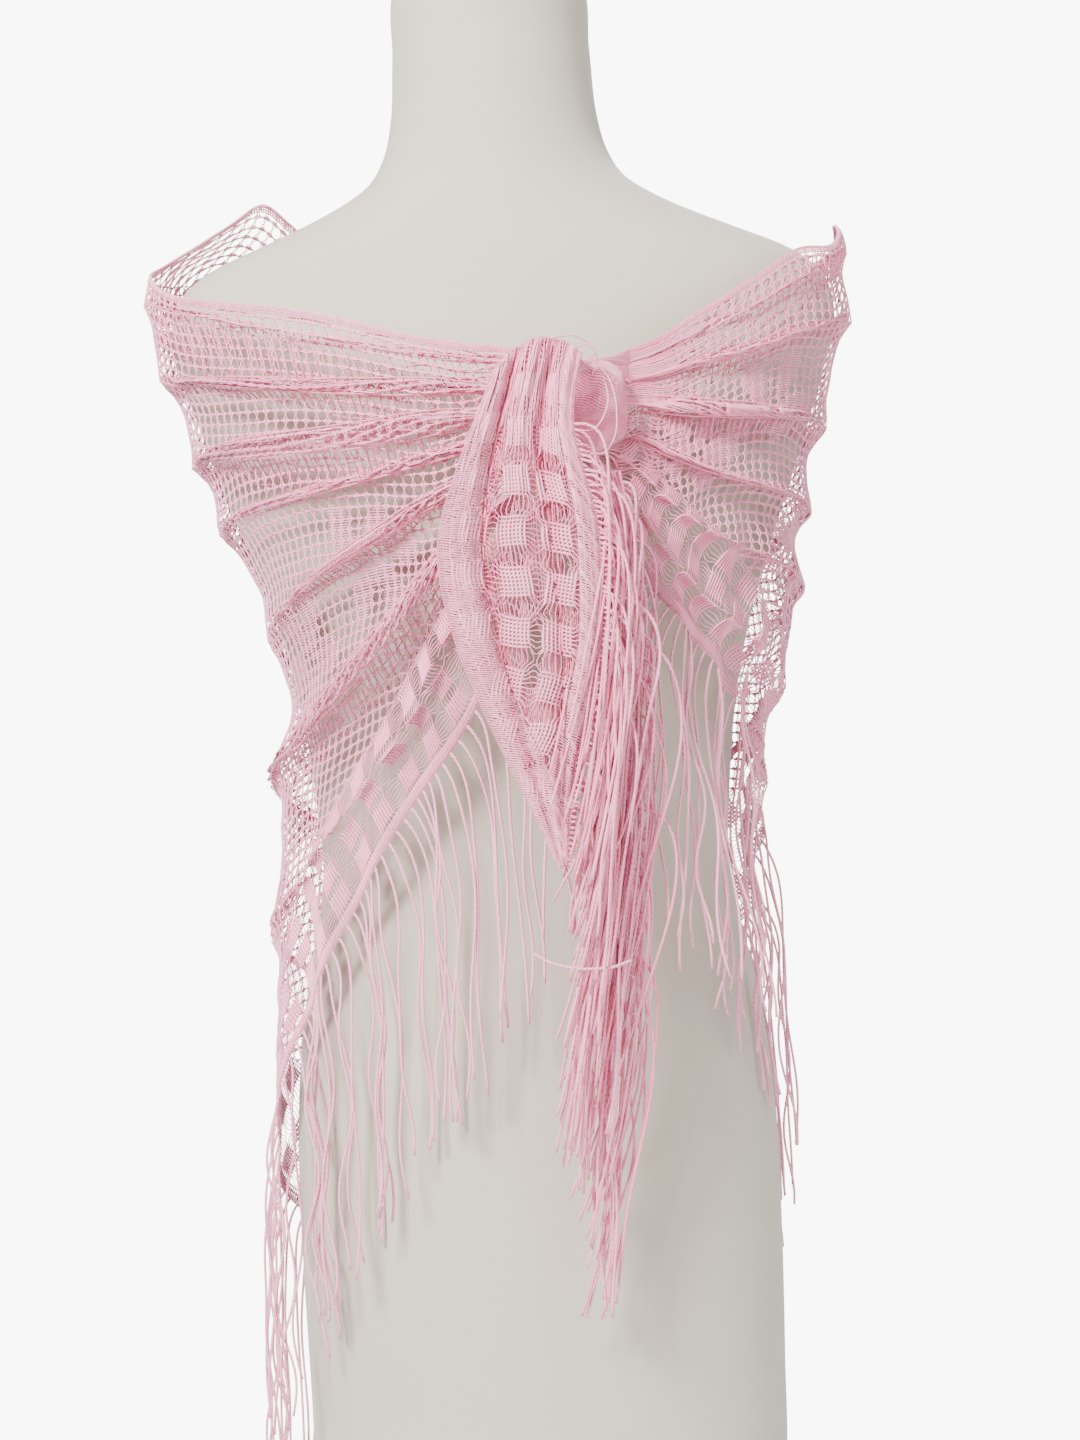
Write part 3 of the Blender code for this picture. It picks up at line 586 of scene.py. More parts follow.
class ThreadMesh:
    """Collects threads and makes them one mesh of closed tubes."""

    def __init__(self, sides: int = 3) -> None:
        """Start with no thread; each tube will have this number of sides."""
        self.sides = sides
        self.points: list[np.ndarray] = []
        self.loops: list[np.ndarray] = []
        self.starts: list[np.ndarray] = []
        self.coords: list[np.ndarray] = []
        self.depths: list[np.ndarray] = []
        self.vertex_count = 0
        self.loop_count = 0
        self.triangles = 0
        self.shortest = 1e-5

    def add(self, paths: np.ndarray, facing: np.ndarray, radius: float | np.ndarray,
            layers_and_shade: float | np.ndarray = 0.0, valid: np.ndarray | None = None) -> None:
        """Carry a ring along each path: ring corners are path + radius (cos up + sin side).

        Args:
            paths: Points of the threads, (threads, points, 3).
            facing: Directions that each ring's first corner looks to, of the same shape.
            radius: The tube's radius, one number or one for each point.
            layers_and_shade: How deep the pink looks, one number or one for each point: the pink of
                layered cloth, and painted shade in hollows and grooves.
            valid: Which stretches between neighbouring points are made, (threads, points - 1).
        """
        threads, count = paths.shape[:2]
        if valid is None:
            valid = np.ones((threads, count - 1), dtype=bool)
        steps = np.linalg.norm(np.diff(paths, axis=1), axis=-1)
        valid = valid & (steps > self.shortest)
        if not valid.any():
            return
        tangent = unit(np.gradient(paths, axis=1))
        side = unit(np.cross(tangent, facing))
        up = np.cross(side, tangent)
        turn = FULL_TURN * np.arange(self.sides) / self.sides
        radius = np.broadcast_to(np.asarray(radius, float), (threads, count))[..., None, None]
        rings = np.cos(turn)[:, None] * up[:, :, None] + np.sin(turn)[:, None] * side[:, :, None]
        rings = paths[:, :, None] + radius * rings
        used = np.zeros((threads, count), dtype=bool)
        used[:, :-1] |= valid
        used[:, 1:] |= valid
        number = (np.cumsum(used.ravel()) - 1).reshape(threads, count) * self.sides
        run = np.concatenate([np.zeros((threads, 1)), steps.cumsum(axis=1)], axis=1)
        layers_and_shade = np.broadcast_to(np.asarray(layers_and_shade, float), (threads, count))

        first, second = number[:, :-1][valid], number[:, 1:][valid]
        run_first, run_second = run[:, :-1][valid], run[:, 1:][valid]
        corner = np.arange(self.sides)
        after = (corner + 1) % self.sides
        quads = np.stack([first[:, None] + corner, first[:, None] + after,
                          second[:, None] + after, second[:, None] + corner], axis=-1)
        low = np.broadcast_to(corner / self.sides, quads.shape[:2])
        high = low + 1.0 / self.sides
        ends = np.stack([run_first, run_first, run_second, run_second], axis=-1)[:, None]
        along = np.broadcast_to(ends, quads.shape)
        around = np.stack([low, high, high, low], axis=-1)
        self._faces(quads.reshape(-1, 4), np.stack([along, around], axis=-1).reshape(-1, 4, 2))

        opened, closed = valid.copy(), valid.copy()
        opened[:, 1:] &= ~valid[:, :-1]
        closed[:, :-1] &= ~valid[:, 1:]
        for ring, order, where in ((number[:, :-1][opened], -corner % self.sides, run[:, :-1][opened]),
                                   (number[:, 1:][closed], corner, run[:, 1:][closed])):
            caps = ring[:, None] + order
            places = np.stack([np.broadcast_to(where[:, None], caps.shape),
                               np.full(caps.shape, 0.5)], axis=-1)
            self._faces(caps, places)
        self.points.append(rings[used].reshape(-1, 3))
        self.depths.append(np.repeat(layers_and_shade[used], self.sides))
        self.vertex_count += int(used.sum()) * self.sides

    def _faces(self, corners: np.ndarray, coords: np.ndarray) -> None:
        """Keep faces of one kind: their corners' numbers and their places on the thread."""
        size = corners.shape[1]
        self.loops.append((corners + self.vertex_count).ravel())
        self.starts.append(self.loop_count + size * np.arange(len(corners)))
        self.coords.append(coords.reshape(-1, 2))
        self.loop_count += corners.size
        self.triangles += len(corners) * (size - 2)

    def make(self, name: str, material: bpy.types.Material, slot: str,
             node: str) -> bpy.types.Object:
        """Put the collected threads in the scene as one smooth-shaded piece.

        Args:
            name: The piece's name.
            material: Its finish.
            slot: The finish's slot; not used.
            node: The node that the piece stands for.

        Returns:
            The new piece, which rides on the body.
        """
        points, loops = np.concatenate(self.points), np.concatenate(self.loops)
        starts, coords = np.concatenate(self.starts), np.concatenate(self.coords)
        mesh = bpy.data.meshes.new(name)
        mesh.vertices.add(len(points))
        mesh.vertices.foreach_set("co", points.astype(np.float32).ravel())
        mesh.loops.add(len(loops))
        mesh.loops.foreach_set("vertex_index", loops.astype(np.int32))
        mesh.polygons.add(len(starts))
        mesh.polygons.foreach_set("loop_start", starts.astype(np.int32))
        mesh.polygons.foreach_set("use_smooth", np.ones(len(starts), dtype=bool))
        mesh.update(calc_edges=True)
        layer = mesh.uv_layers.new(name="UVMap")
        layer.data.foreach_set("uv", coords.astype(np.float32).ravel())
        # pink depth for each point: layered cloth, and painted shade in the tail's valleys, the knot's
        # groove and core, and the pleats' valleys
        depth = mesh.attributes.new("layers_and_shade", "FLOAT", "POINT")
        depth.data.foreach_set("value", np.concatenate(self.depths).astype(np.float32))
        mesh.materials.append(material)
        log.info("%s: %d triangles", name, self.triangles)
        return dress(put(mesh), slot, node)


def make_grid(name: str, points: np.ndarray, material: bpy.types.Material) -> bpy.types.Object:
    """Put a grid of points in the scene as one smooth barrel, closed round and at both ends.

    Args:
        name: The piece's name.
        points: The grid, (rows, columns, 3), whose faces look out when columns run
            anticlockwise seen from above and rows run upwards.
        material: Its finish.

    Returns:
        The new object.
    """
    rows, columns = points.shape[:2]
    number = np.arange(rows * columns).reshape(rows, columns)
    after = np.roll(number, -1, axis=1)
    quads = np.stack([number[:-1], after[:-1], after[1:], number[1:]], axis=-1).reshape(-1, 4)
    faces = [*quads.tolist(), number[0, ::-1].tolist(), number[-1].tolist()]
    mesh = bpy.data.meshes.new(name)
    mesh.from_pydata(points.reshape(-1, 3).tolist(), [], faces)
    mesh.shade_smooth()
    mesh.set_sharp_from_angle(angle=SHARP_ANGLE)
    mesh.materials.append(material)
    log.info("%s: %d faces", name, len(faces))
    return put(mesh)


class NodeGraph:
    """Adds nodes to a tree and links them, with few words."""

    def __init__(self, tree: bpy.types.NodeTree) -> None:
        """Work on this tree."""
        self.tree = tree

    def add(self, kind: str, inputs: dict[str | int, Socket | Colour | float] | None = None,
            **settings: object) -> bpy.types.Node:
        """Add a node, set its properties, and fill its inputs from values or other outputs.

        Args:
            kind: The node's type.
            inputs: Values or output sockets by input name or number.
            **settings: The node's own properties.

        Returns:
            The new node.
        """
        node = self.tree.nodes.new(kind)
        for name, value in settings.items():
            setattr(node, name, value)
        return self.fill(node, inputs or {})

    def fill(self, node: bpy.types.Node,
             inputs: dict[str | int, Socket | Colour | float]) -> bpy.types.Node:
        """Fill a node's inputs from values or other outputs; returns the node."""
        for name, value in inputs.items():
            if isinstance(value, Socket):
                self.tree.links.new(value, node.inputs[name])
            else:
                node.inputs[name].default_value = value
        return node

    def noise(self, scale: Socket, **values: float) -> Socket:
        """Noise in object coordinates; returns its factor."""
        place = self.add("ShaderNodeTexCoord").outputs["Object"]
        return self.add("ShaderNodeTexNoise", {"Vector": place, "Scale": scale, **values}).outputs[0]

    def math(self, operation: str, *values: Socket | float) -> Socket:
        """One sum of up to three values; returns its result."""
        node = self.add("ShaderNodeMath", dict(enumerate(values)), operation=operation)
        return node.outputs[0]

    def mix(self, share: Socket, first: Colour, second: Colour) -> Socket:
        """Mix two colours by a share; returns the mixed colour."""
        node = self.add("ShaderNodeMix", {0: share, 6: first, 7: second}, data_type="RGBA")
        return node.outputs[2]


def new_group(name: str, inputs: dict[str, float], outputs: tuple[str, ...]
              ) -> tuple[NodeGraph, bpy.types.Node, bpy.types.Node]:
    """Start a shader node group with named number sockets.

    Args:
        name: The group's name.
        inputs: Its inputs and their usual values.
        outputs: Its outputs' names.

    Returns:
        A graph on the group, and the group's input and output nodes.
    """
    group = bpy.data.node_groups.new(name, "ShaderNodeTree")
    for label, value in inputs.items():
        made = group.interface.new_socket(label, in_out="INPUT", socket_type="NodeSocketFloat")
        made.default_value = value
    for label in outputs:
        group.interface.new_socket(label, in_out="OUTPUT", socket_type="NodeSocketFloat")
    graph = NodeGraph(group)
    return graph, graph.add("NodeGroupInput"), graph.add("NodeGroupOutput")


def ply_group() -> bpy.types.NodeTree:
    """Plies of a twisted yarn: ridges that wind round the thread, from its own UV map.

    Height is the size of sin(pi (turns along + plies around)); Mottle is slow noise in space.
    """
    graph, given, result = new_group(
        "yarn plies", {"Turns": 320.0, "Plies": 2.0, "Mottle Scale": 60.0}, ("Height", "Mottle"))
    place = graph.add("ShaderNodeUVMap", uv_map="UVMap")
    parts = graph.add("ShaderNodeSeparateXYZ", {0: place.outputs[0]})
    along = graph.math("MULTIPLY", parts.outputs[0], given.outputs["Turns"])
    around = graph.math("MULTIPLY", parts.outputs[1], given.outputs["Plies"])
    wound = graph.math("MULTIPLY", graph.math("ADD", along, around), np.pi)
    graph.fill(result, {"Height": graph.math("ABSOLUTE", graph.math("SINE", wound)),
                        "Mottle": graph.noise(given.outputs["Mottle Scale"], Detail=3.0)})
    return graph.tree


def grain_group() -> bpy.types.NodeTree:
    """Fine grain of a surface: knit stitches or powder, from object coordinates.

    Fine is small even noise; Broad is slow unevenness.
    """
    graph, given, result = new_group(
        "surface grain", {"Fine Scale": 900.0, "Broad Scale": 9.0}, ("Fine", "Broad"))
    graph.fill(result, {"Fine": graph.noise(given.outputs["Fine Scale"], Detail=2.0, Roughness=0.6),
                        "Broad": graph.noise(given.outputs["Broad Scale"], Detail=3.0)})
    return graph.tree


def new_material(name: str) -> tuple[bpy.types.Material, NodeGraph, bpy.types.Node]:
    """A material with its shader; returns the material, a graph on it and the shader."""
    material = bpy.data.materials.new(name)
    material.use_nodes = True
    graph = NodeGraph(material.node_tree)
    return material, graph, material.node_tree.nodes["Principled BSDF"]


@dataclass(frozen=True)
class YarnFinish:
    """Pale pink satin yarn: lit threads look near white, layered ones a deeper pink; the deeper pink is
    also painted shade in the ply grooves and in the cloth's hollows.
    """

    name: str = "lace yarn"
    pale: Colour = (0.950, 0.400, 0.550, 1.0)
    deep: Colour = (0.900, 0.120, 0.280, 1.0)
    # share of deeper pink painted as shade in the grooves between the plies
    ply_groove_shade: float = 0.22
    mottling: float = 0.5
    # share of deeper pink from the layers-and-shade attribute: layered cloth, and painted shade in
    # hollows
    layers_and_shade_deepening: float = 0.75
    roughness: float = 0.42
    roughness_range: float = 0.2
    turns: float = 420.0
    plies: float = 2.0
    bump: float = 0.35
    bump_height: float = 0.00012
    sheen: float = 0.35
    sheen_roughness: float = 0.4
    specular: float = 0.55

    def material(self, plies: bpy.types.NodeTree) -> bpy.types.Material:
        """The finished material, with the plies' group placed in it."""
        made, graph, shader = new_material(self.name)
        twist = graph.add("ShaderNodeGroup", {"Turns": self.turns, "Plies": self.plies}, node_tree=plies)
        height, mottle = twist.outputs["Height"], twist.outputs["Mottle"]
        layers_and_shade = graph.add("ShaderNodeAttribute", attribute_name="layers_and_shade")
        uneven = graph.math("MULTIPLY_ADD", mottle, self.mottling, -0.5 * self.mottling)
        # painted shade: deeper pink in the grooves between the plies, where the ply height is low
        grooved = graph.math("MULTIPLY_ADD", graph.math("SUBTRACT", 1.0, height),
                             self.ply_groove_shade, uneven)
        # deeper pink where the layers-and-shade attribute is high: layered cloth, and painted shade in
        # the cloth's hollows
        share = graph.math("ADD", grooved,
                           graph.math("MULTIPLY", layers_and_shade.outputs["Fac"], self.layers_and_shade_deepening))
        share = graph.add("ShaderNodeClamp", {0: share}).outputs[0]
        bump = graph.add("ShaderNodeBump", {"Strength": self.bump, "Distance": self.bump_height,
                                            "Height": height})
        graph.fill(shader, {
            "Base Color": graph.mix(share, self.pale, self.deep),
            "Roughness": graph.math("MULTIPLY_ADD", mottle, self.roughness_range,
                                    self.roughness - 0.5 * self.roughness_range),
            "Sheen Weight": self.sheen, "Sheen Roughness": self.sheen_roughness,
            "Specular IOR Level": self.specular, "Normal": bump.outputs[0]})
        return made


@dataclass(frozen=True)
class GrainFinish:
    """A plain surface: two near colours in slow patches, and a fine grain of bumps and gloss."""

    name: str
    colour: Colour
    patches: Colour
    fine_scale: float
    broad_scale: float
    roughness: float
    roughness_range: float
    bump: float
    bump_height: float
    sheen: float = 0.0
    metallic: float = 0.0

    def material(self, grain: bpy.types.NodeTree) -> bpy.types.Material:
        """The finished material, with the grain group placed in it."""
        made, graph, shader = new_material(self.name)
        noise = graph.add("ShaderNodeGroup", {"Fine Scale": self.fine_scale,
                                              "Broad Scale": self.broad_scale}, node_tree=grain)
        fine, broad = noise.outputs["Fine"], noise.outputs["Broad"]
        bump = graph.add("ShaderNodeBump", {"Strength": self.bump, "Distance": self.bump_height,
                                            "Height": fine})
        graph.fill(shader, {
            "Base Color": graph.mix(broad, self.colour, self.patches),
            "Roughness": graph.math("MULTIPLY_ADD", fine, self.roughness_range,
                                    self.roughness - 0.5 * self.roughness_range),
            "Sheen Weight": self.sheen, "Metallic": self.metallic, "Normal": bump.outputs[0]})
        return made


LACE_YARN = YarnFinish()
FRINGE_CORD = YarnFinish(name="fringe cord", turns=330.0, bump=0.8, bump_height=0.0005, roughness=0.48)
# Jersey drawn smooth over the form: fine knit grain and a soft matt sheen
JERSEY = GrainFinish("cream jersey", (0.500, 0.450, 0.365, 1.0), (0.465, 0.415, 0.335, 1.0),
                     fine_scale=1100.0, broad_scale=7.0, roughness=0.82, roughness_range=0.12,
                     bump=0.25, bump_height=0.0004, sheen=0.25)
# Satin powder coat: faint orange-peel grain and worn, lighter patches
POWDER_COAT = GrainFinish("black powder coat", (0.012, 0.012, 0.014, 1.0), (0.045, 0.045, 0.050, 1.0),
                          fine_scale=700.0, broad_scale=14.0, roughness=0.42, roughness_range=0.2,
                          bump=0.15, bump_height=0.0003, metallic=0.4)


@dataclass
class Finishes:
    """Every finish as a made material."""

    lace: bpy.types.Material
    cord: bpy.types.Material
    jersey: bpy.types.Material
    coat: bpy.types.Material

    @classmethod
    def make(cls) -> Finishes:
        """Build the shared groups once and each material with them."""
        plies, grain = ply_group(), grain_group()
        return cls(LACE_YARN.material(plies), FRINGE_CORD.material(plies),
                   JERSEY.material(grain), POWDER_COAT.material(grain))


class Stretch(Enum):
    """Stretches of the scarf round the body: piece name, node it stands for, start and end."""

    LEFT = ("net_left", "wrap_left", LEFT_KNOT_AT, LEFT_SIDE_AT)
    BACK_LEFT = ("net_back_left", "wrap_back", LEFT_SIDE_AT, BACK_MIDDLE_AT)
    BACK_RIGHT = ("net_back_right", "wrap_back", BACK_MIDDLE_AT, RIGHT_SIDE_AT)
    RIGHT = ("net_right", "wrap_right", RIGHT_SIDE_AT, RIGHT_KNOT_AT)


@dataclass
class Lace:
    """The knitted lace of the scarf, thread by thread.

    The ground is a filet net: rows of three threads along the long edge, and crossed threads
    between the rows.  The border along the fringed edge is a lattice of bands of loose
    threads; where two bands cross they make a dense patch.
    """

    drape: Drape
    row_pitch: float = 0.0060
    wale_pitch: float = 0.0074
    row_radius: float = 0.00048
    wale_radius: float = 0.00038
    row_spread: float = 0.0008
    wale_spread: float = 0.0017
    selvage: tuple[float, ...] = (0.0, 0.0012, 0.0024, 0.0036)
    border_width: float = 0.060
    hem_width: float = 0.0065
    band_pitch: float = 0.0265
    band_depth: float = 0.0178
    band_threads: int = 7
    band_spacing: float = 0.0020
    bar_radius: float = 0.00036
    patch_radius: float = 0.00072
    fanning: float = 0.62
    post_steps: int = 26
    crossing_step: float = 0.0033
    post_patch: float = 0.40
    crossing_patch: float = 0.26
    chain: tuple[float, ...] = (0.0, 0.0022, 0.0044)
    chain_step: float = 0.0016
    hem_rib_pitch: float = 0.0016
    hem_rib_leans: tuple[float, float] = (0.35, 1.1)
    selvage_step: float = 0.0035
    bar_pitch: float = 0.0019
    bar_lean: float = 0.0015
    bar_lift: float = 0.0006
    tuck_step: float = 0.0048
    tuck_reach: tuple[float, float] = (-0.65, 0.35)
    tuck_behind: float = 0.0016
    tuck_clearance: float = 0.0012
    tuck_pink: float = 0.62
    motif_places: tuple[tuple[float, float], ...] = (
        (0.505, 0.205), (0.590, 0.250), (0.690, 0.190), (0.770, 0.330), (0.860, 0.200),
        (0.960, 0.300), (1.040, 0.180), (1.130, 0.210), (1.205, 0.110), (1.260, 0.150))
    motif_reach: float = 0.044
    motif_heart: float = 0.15
    motif_start: float = 0.012
    motif_gap: float = 0.004

    def build(self, stretch: Stretch, material: bpy.types.Material) -> bpy.types.Object:
        """Make one stretch: its ground, its border and its hem.

        Args:
            stretch: Which stretch.
            material: The yarn's finish.

        Returns:
            The new piece, which rides on the body and stands for its node.
        """
        name, node, start, end = stretch.value
        mesh = ThreadMesh()
        self.rows(mesh, start, end)
        self.wales(mesh, start, end)
        self.edge(mesh, start, end)
        self.motifs(mesh, start, end)
        self.tucks(mesh, start, end)
        self.border(mesh, start, end)
        return mesh.make(name, material, "lace", node)

    def ground_depth(self, at: np.ndarray) -> np.ndarray:
        """How far the ground net reaches from the long edge before the border starts."""
        return np.maximum(self.drape.depth(at) - self.border_width * HEM_RISE, 0.0)

    def deepest(self, start: float, end: float) -> float:
        """How far the ground net reaches at the deepest place of a stretch."""
        return float(self.ground_depth(np.linspace(start, end, 60)).max())

    def lay(self, mesh: ThreadMesh, at: np.ndarray, across: np.ndarray, radius: float | np.ndarray,
            lift: float, valid: np.ndarray | None = None) -> None:
        """Lay threads through flat places on the drape, lifted a little off it."""
        points, normal = self.drape.surface(at, across)
        mesh.add(points + normal * lift, normal, radius, self.drape.layers_and_shade(at, across), valid)

    def rows(self, mesh: ThreadMesh, start: float, end: float) -> None:
        """Rows of the net: two threads that cross between the wales and one along their middle."""
        across = np.arange(0.0, self.deepest(start, end), self.row_pitch)[:, None]
        crossings = np.arange(np.floor(start / self.wale_pitch), np.ceil(end / self.wale_pitch) + 1)
        at = crossings[None] * self.wale_pitch
        reach = (across + self.border_width * HEM_RISE) / CORNER_SLOPE
        low = np.maximum(start, reach)
        high = np.minimum(end, LONG_EDGE - reach)
        held = np.clip(at, low, np.maximum(high, low))
        phase = np.pi * held / self.wale_pitch
        for side in (1.0, 0.0, -1.0):
            off = side * self.row_spread * np.cos(phase)
            self.lay(mesh, held, across + off, self.row_radius, 0.0002 * side)

    def wales(self, mesh: ThreadMesh, start: float, end: float) -> None:
        """Threads between the rows, which lean apart at each row and cross between them."""
        first = np.ceil(start / self.wale_pitch)
        at = (np.arange(first, np.ceil(end / self.wale_pitch)) * self.wale_pitch)[:, None]
        across = np.arange(0.0, self.deepest(start, end) + self.row_pitch, self.row_pitch)[None]
        held = np.minimum(across, self.ground_depth(at))
        phase = np.pi * held / self.row_pitch
        for side in (1.0, -1.0):
            off = side * self.wale_spread * np.cos(phase)
            self.lay(mesh, np.clip(at + off, start, end), held, self.wale_radius, 0.0004)

    def edge(self, mesh: ThreadMesh, start: float, end: float) -> None:
        """The firm long edge: four close threads with slanting bars worked over them."""
        at = np.arange(start, end + self.selvage_step, self.selvage_step).clip(start, end)[None]
        at, lines = np.broadcast_arrays(at, np.array(self.selvage)[:, None])
        self.lay(mesh, at, lines, self.row_radius, 0.0002)
        share = np.linspace(0.0, 1.0, 3)[None]
        at = np.arange(start, end - 0.002, self.bar_pitch)[:, None] + self.bar_lean * share
        across = self.selvage[0] + (self.selvage[-1] - self.selvage[0]) * share
        self.lay(mesh, at, across, self.row_radius, self.bar_lift)

    def motifs(self, mesh: ThreadMesh, start: float, end: float) -> None:
        """Flowers worked solid in the net: close rows where r < reach sqrt |cos 3a| about a centre."""
        across = np.arange(self.motif_start, self.deepest(start, end), self.row_pitch / 4.0)[:, None]
        at = np.arange(start, end, 0.5 * self.wale_pitch)[None]
        inside = np.zeros((across.shape[0], at.shape[1]), dtype=bool)
        for centre_at, centre_across in self.motif_places:
            along, down = at - centre_at, across - centre_across
            reach, angle = np.hypot(along, down), np.arctan2(down, along)
            petal = self.motif_reach * np.abs(np.cos(3.0 * angle)) ** 0.5
            inside |= (reach < petal) & (reach > self.motif_heart * self.motif_reach)
        inside &= across < self.ground_depth(at) - self.motif_gap
        valid = inside[:, 1:] & inside[:, :-1]
        kept = valid.any(axis=1)
        at, across = np.broadcast_arrays(at, across)
        if kept.any():
            self.lay(mesh, at[kept], across[kept], self.row_radius, 0.0003, valid[kept])

    def tucks(self, mesh: ThreadMesh, start: float, end: float) -> None:
        """The cloth folded in behind each ridge: close rows and crossing bars, a layer behind."""
        at = np.arange(start, end + self.tuck_step, self.tuck_step).clip(start, end)
        top = smooth(at, HANG["at"], HANG["top_height"])
        hem = smooth(at, HANG["at"], HANG["hem_height"])
        lowest = self.drape.down_of(at, self.ground_depth(at))
        zigzag = np.stack([at[:-1], at[1:], at[:-1]], axis=-1)
        for number, ((heights, _), widths) in enumerate(zip(FOLDS.values(), TUCKS)):
            ridge = smooth(at, FOLD_STATIONS, heights)
            width = smooth(at, FOLD_STATIONS, widths)
            part = np.linspace(*self.tuck_reach, 11)[:, None]
            drift = 0.0012 * even_noise(at * 9.0 + 0.2 * part, 50 + number)
            self.lay_behind(mesh, at[None], (ridge + part * width + drift - top) / (hem - top), lowest)
            part = np.linspace(*self.tuck_reach, 3)[:, None]
            down = ((ridge + part * width - top) / (hem - top))[:, :-1].T
            self.lay_behind(mesh, zigzag, down, lowest[:-1, None])

    def lay_behind(self, mesh: ThreadMesh, at: np.ndarray, down: np.ndarray,
                   lowest: np.ndarray) -> None:
        """Lay deeper pink threads a layer behind the cloth, where they stay on the net."""
        at, down, lowest = np.broadcast_arrays(at, down, lowest)
        points, normal = self.drape.placed(at, np.clip(down, 0.0, 1.0))
        points = self.drape.form.off(points - normal * self.tuck_behind, self.tuck_clearance)
        inside = (down > 0.0) & (down < lowest)
        valid = inside[:, 1:] & inside[:, :-1]
        if valid.any():
            mesh.add(points, normal, self.row_radius, self.tuck_pink, valid)

    def border(self, mesh: ThreadMesh, start: float, end: float) -> None:
        """The lattice border and the hem, on the scarf's left half, right half or both."""
        middle = 0.5 * LONG_EDGE
        if start < middle:
            self.border_half(mesh, start, min(end, middle), False)
        if end > middle:
            self.border_half(mesh, LONG_EDGE - end, LONG_EDGE - max(start, middle), True)

    def border_half(self, mesh: ThreadMesh, start: float, end: float, mirrored: bool) -> None:
        """The border of one half, whose places count from that half's own tip.

        A place "edge" metres along the hem and "inside" metres in from it, square to the hem,
        is at edge cos + inside sin, across edge sin - inside cos.
        """

        def lay(edge: np.ndarray, inside: np.ndarray, radius: float | np.ndarray,
                lift: float) -> None:
            """Lay threads through places of the border."""
            at = np.clip(edge * HEM_COS + inside * HEM_SIN, start, end)
            across = edge * HEM_SIN - inside * HEM_COS
            if mirrored:
                at = LONG_EDGE - at
            self.lay(mesh, at, across, radius, lift)

        def along_hem(inside: np.ndarray, count: int) -> np.ndarray:
            """Places along the hem that fill the stretch, for threads this far inside."""
            low = (start - inside * HEM_SIN) / HEM_COS
            high = (end - inside * HEM_SIN) / HEM_COS
            return low + (high - low) * np.linspace(0.0, 1.0, count)[None]

        half_band = 0.5 * (self.band_threads - 1)
        offsets = (np.arange(self.band_threads) - half_band) * self.band_spacing
        extra = self.patch_radius - self.bar_radius
        first_edge, last_edge = start * HEM_RISE, end * HEM_RISE

        # Bands that stand square to the hem
        low_edge = first_edge - self.border_width * CORNER_SLOPE
        posts = np.arange(np.floor(low_edge / self.band_pitch), np.ceil(last_edge / self.band_pitch) + 1)
        edge = (posts[:, None] * self.band_pitch + offsets).reshape(-1, 1)
        off = np.tile(offsets, len(posts))[:, None]
        low = np.maximum(0.0, (start - edge * HEM_COS) / HEM_SIN)
        high = np.minimum(self.border_width, (end - edge * HEM_COS) / HEM_SIN)
        kept = (high > low + NEARBY).ravel()
        edge, low, high, off = edge[kept], low[kept], high[kept], off[kept]
        inside = low + (high - low) * np.linspace(0.0, 1.0, self.post_steps)[None]
        dense = in_patch((inside - self.hem_width) / self.band_depth - 0.5, self.post_patch)
        dense = dense * (inside > self.hem_width)
        lay(edge + 0.20 * off * (1.0 - dense), inside, self.bar_radius + extra * dense, 0.0003)

        # Three bands along the hem
        centres = self.hem_width + self.band_depth * (np.arange(3) + 0.5)
        off = np.tile(offsets * 0.86, 3)[:, None]
        inside = np.repeat(centres, self.band_threads)[:, None] + off
        count = int((end - start) * HEM_RISE / self.crossing_step) + 2
        edge = along_hem(inside, count)
        dense = in_patch(edge / self.band_pitch, self.crossing_patch)
        fan = self.fanning * splay(edge / self.band_pitch, self.crossing_patch)
        lay(edge, inside + off * fan, self.bar_radius + extra * dense, -0.0002)

        # Chains along the hem and along the border's inner edge
        chain = np.array([*self.chain, self.hem_width, self.border_width,
                          self.border_width - self.chain_step])[:, None]
        edge = along_hem(chain, count)
        lay(edge, np.broadcast_to(chain, edge.shape), self.row_radius, 0.0)

        # Slanting ribs of the hem, in two layers that cross
        count = int((end - start) * HEM_RISE / self.hem_rib_pitch) + 2
        edge = np.linspace(first_edge, last_edge, count)
        inside = self.hem_width * np.linspace(0.0, 1.0, 4)
        for lean in self.hem_rib_leans:
            lay(edge[:, None] - lean * inside * CORNER_SLOPE, np.broadcast_to(inside, (count, 4)),
                self.wale_radius, 0.0005)


def in_patch(place: np.ndarray, half: float) -> np.ndarray:
    """How much a place lies in a dense patch, which are centred on the whole numbers.

    Args:
        place: Places counted in pitches.
        half: Half the patch's width, as a share of the pitch.

    Returns:
        One in the patches, nought between them, with a short slope.
    """
    away = np.abs(place - np.round(place))
    return np.clip((half - away) / PATCH_SLOPE, 0.0, 1.0)


def splay(place: np.ndarray, half: float) -> np.ndarray:
    """How far threads fan out between the dense patches.

    Args:
        place: Places counted in pitches.
        half: Half the patch's width, as a share of the pitch.

    Returns:
        Nought in the patches and one midway between them: 3 s squared - 2 s cubed.
    """
    share = np.clip((np.abs(place - np.round(place)) - half) / (0.5 - half), 0.0, 1.0)
    return share ** 2 * (3.0 - 2.0 * share)


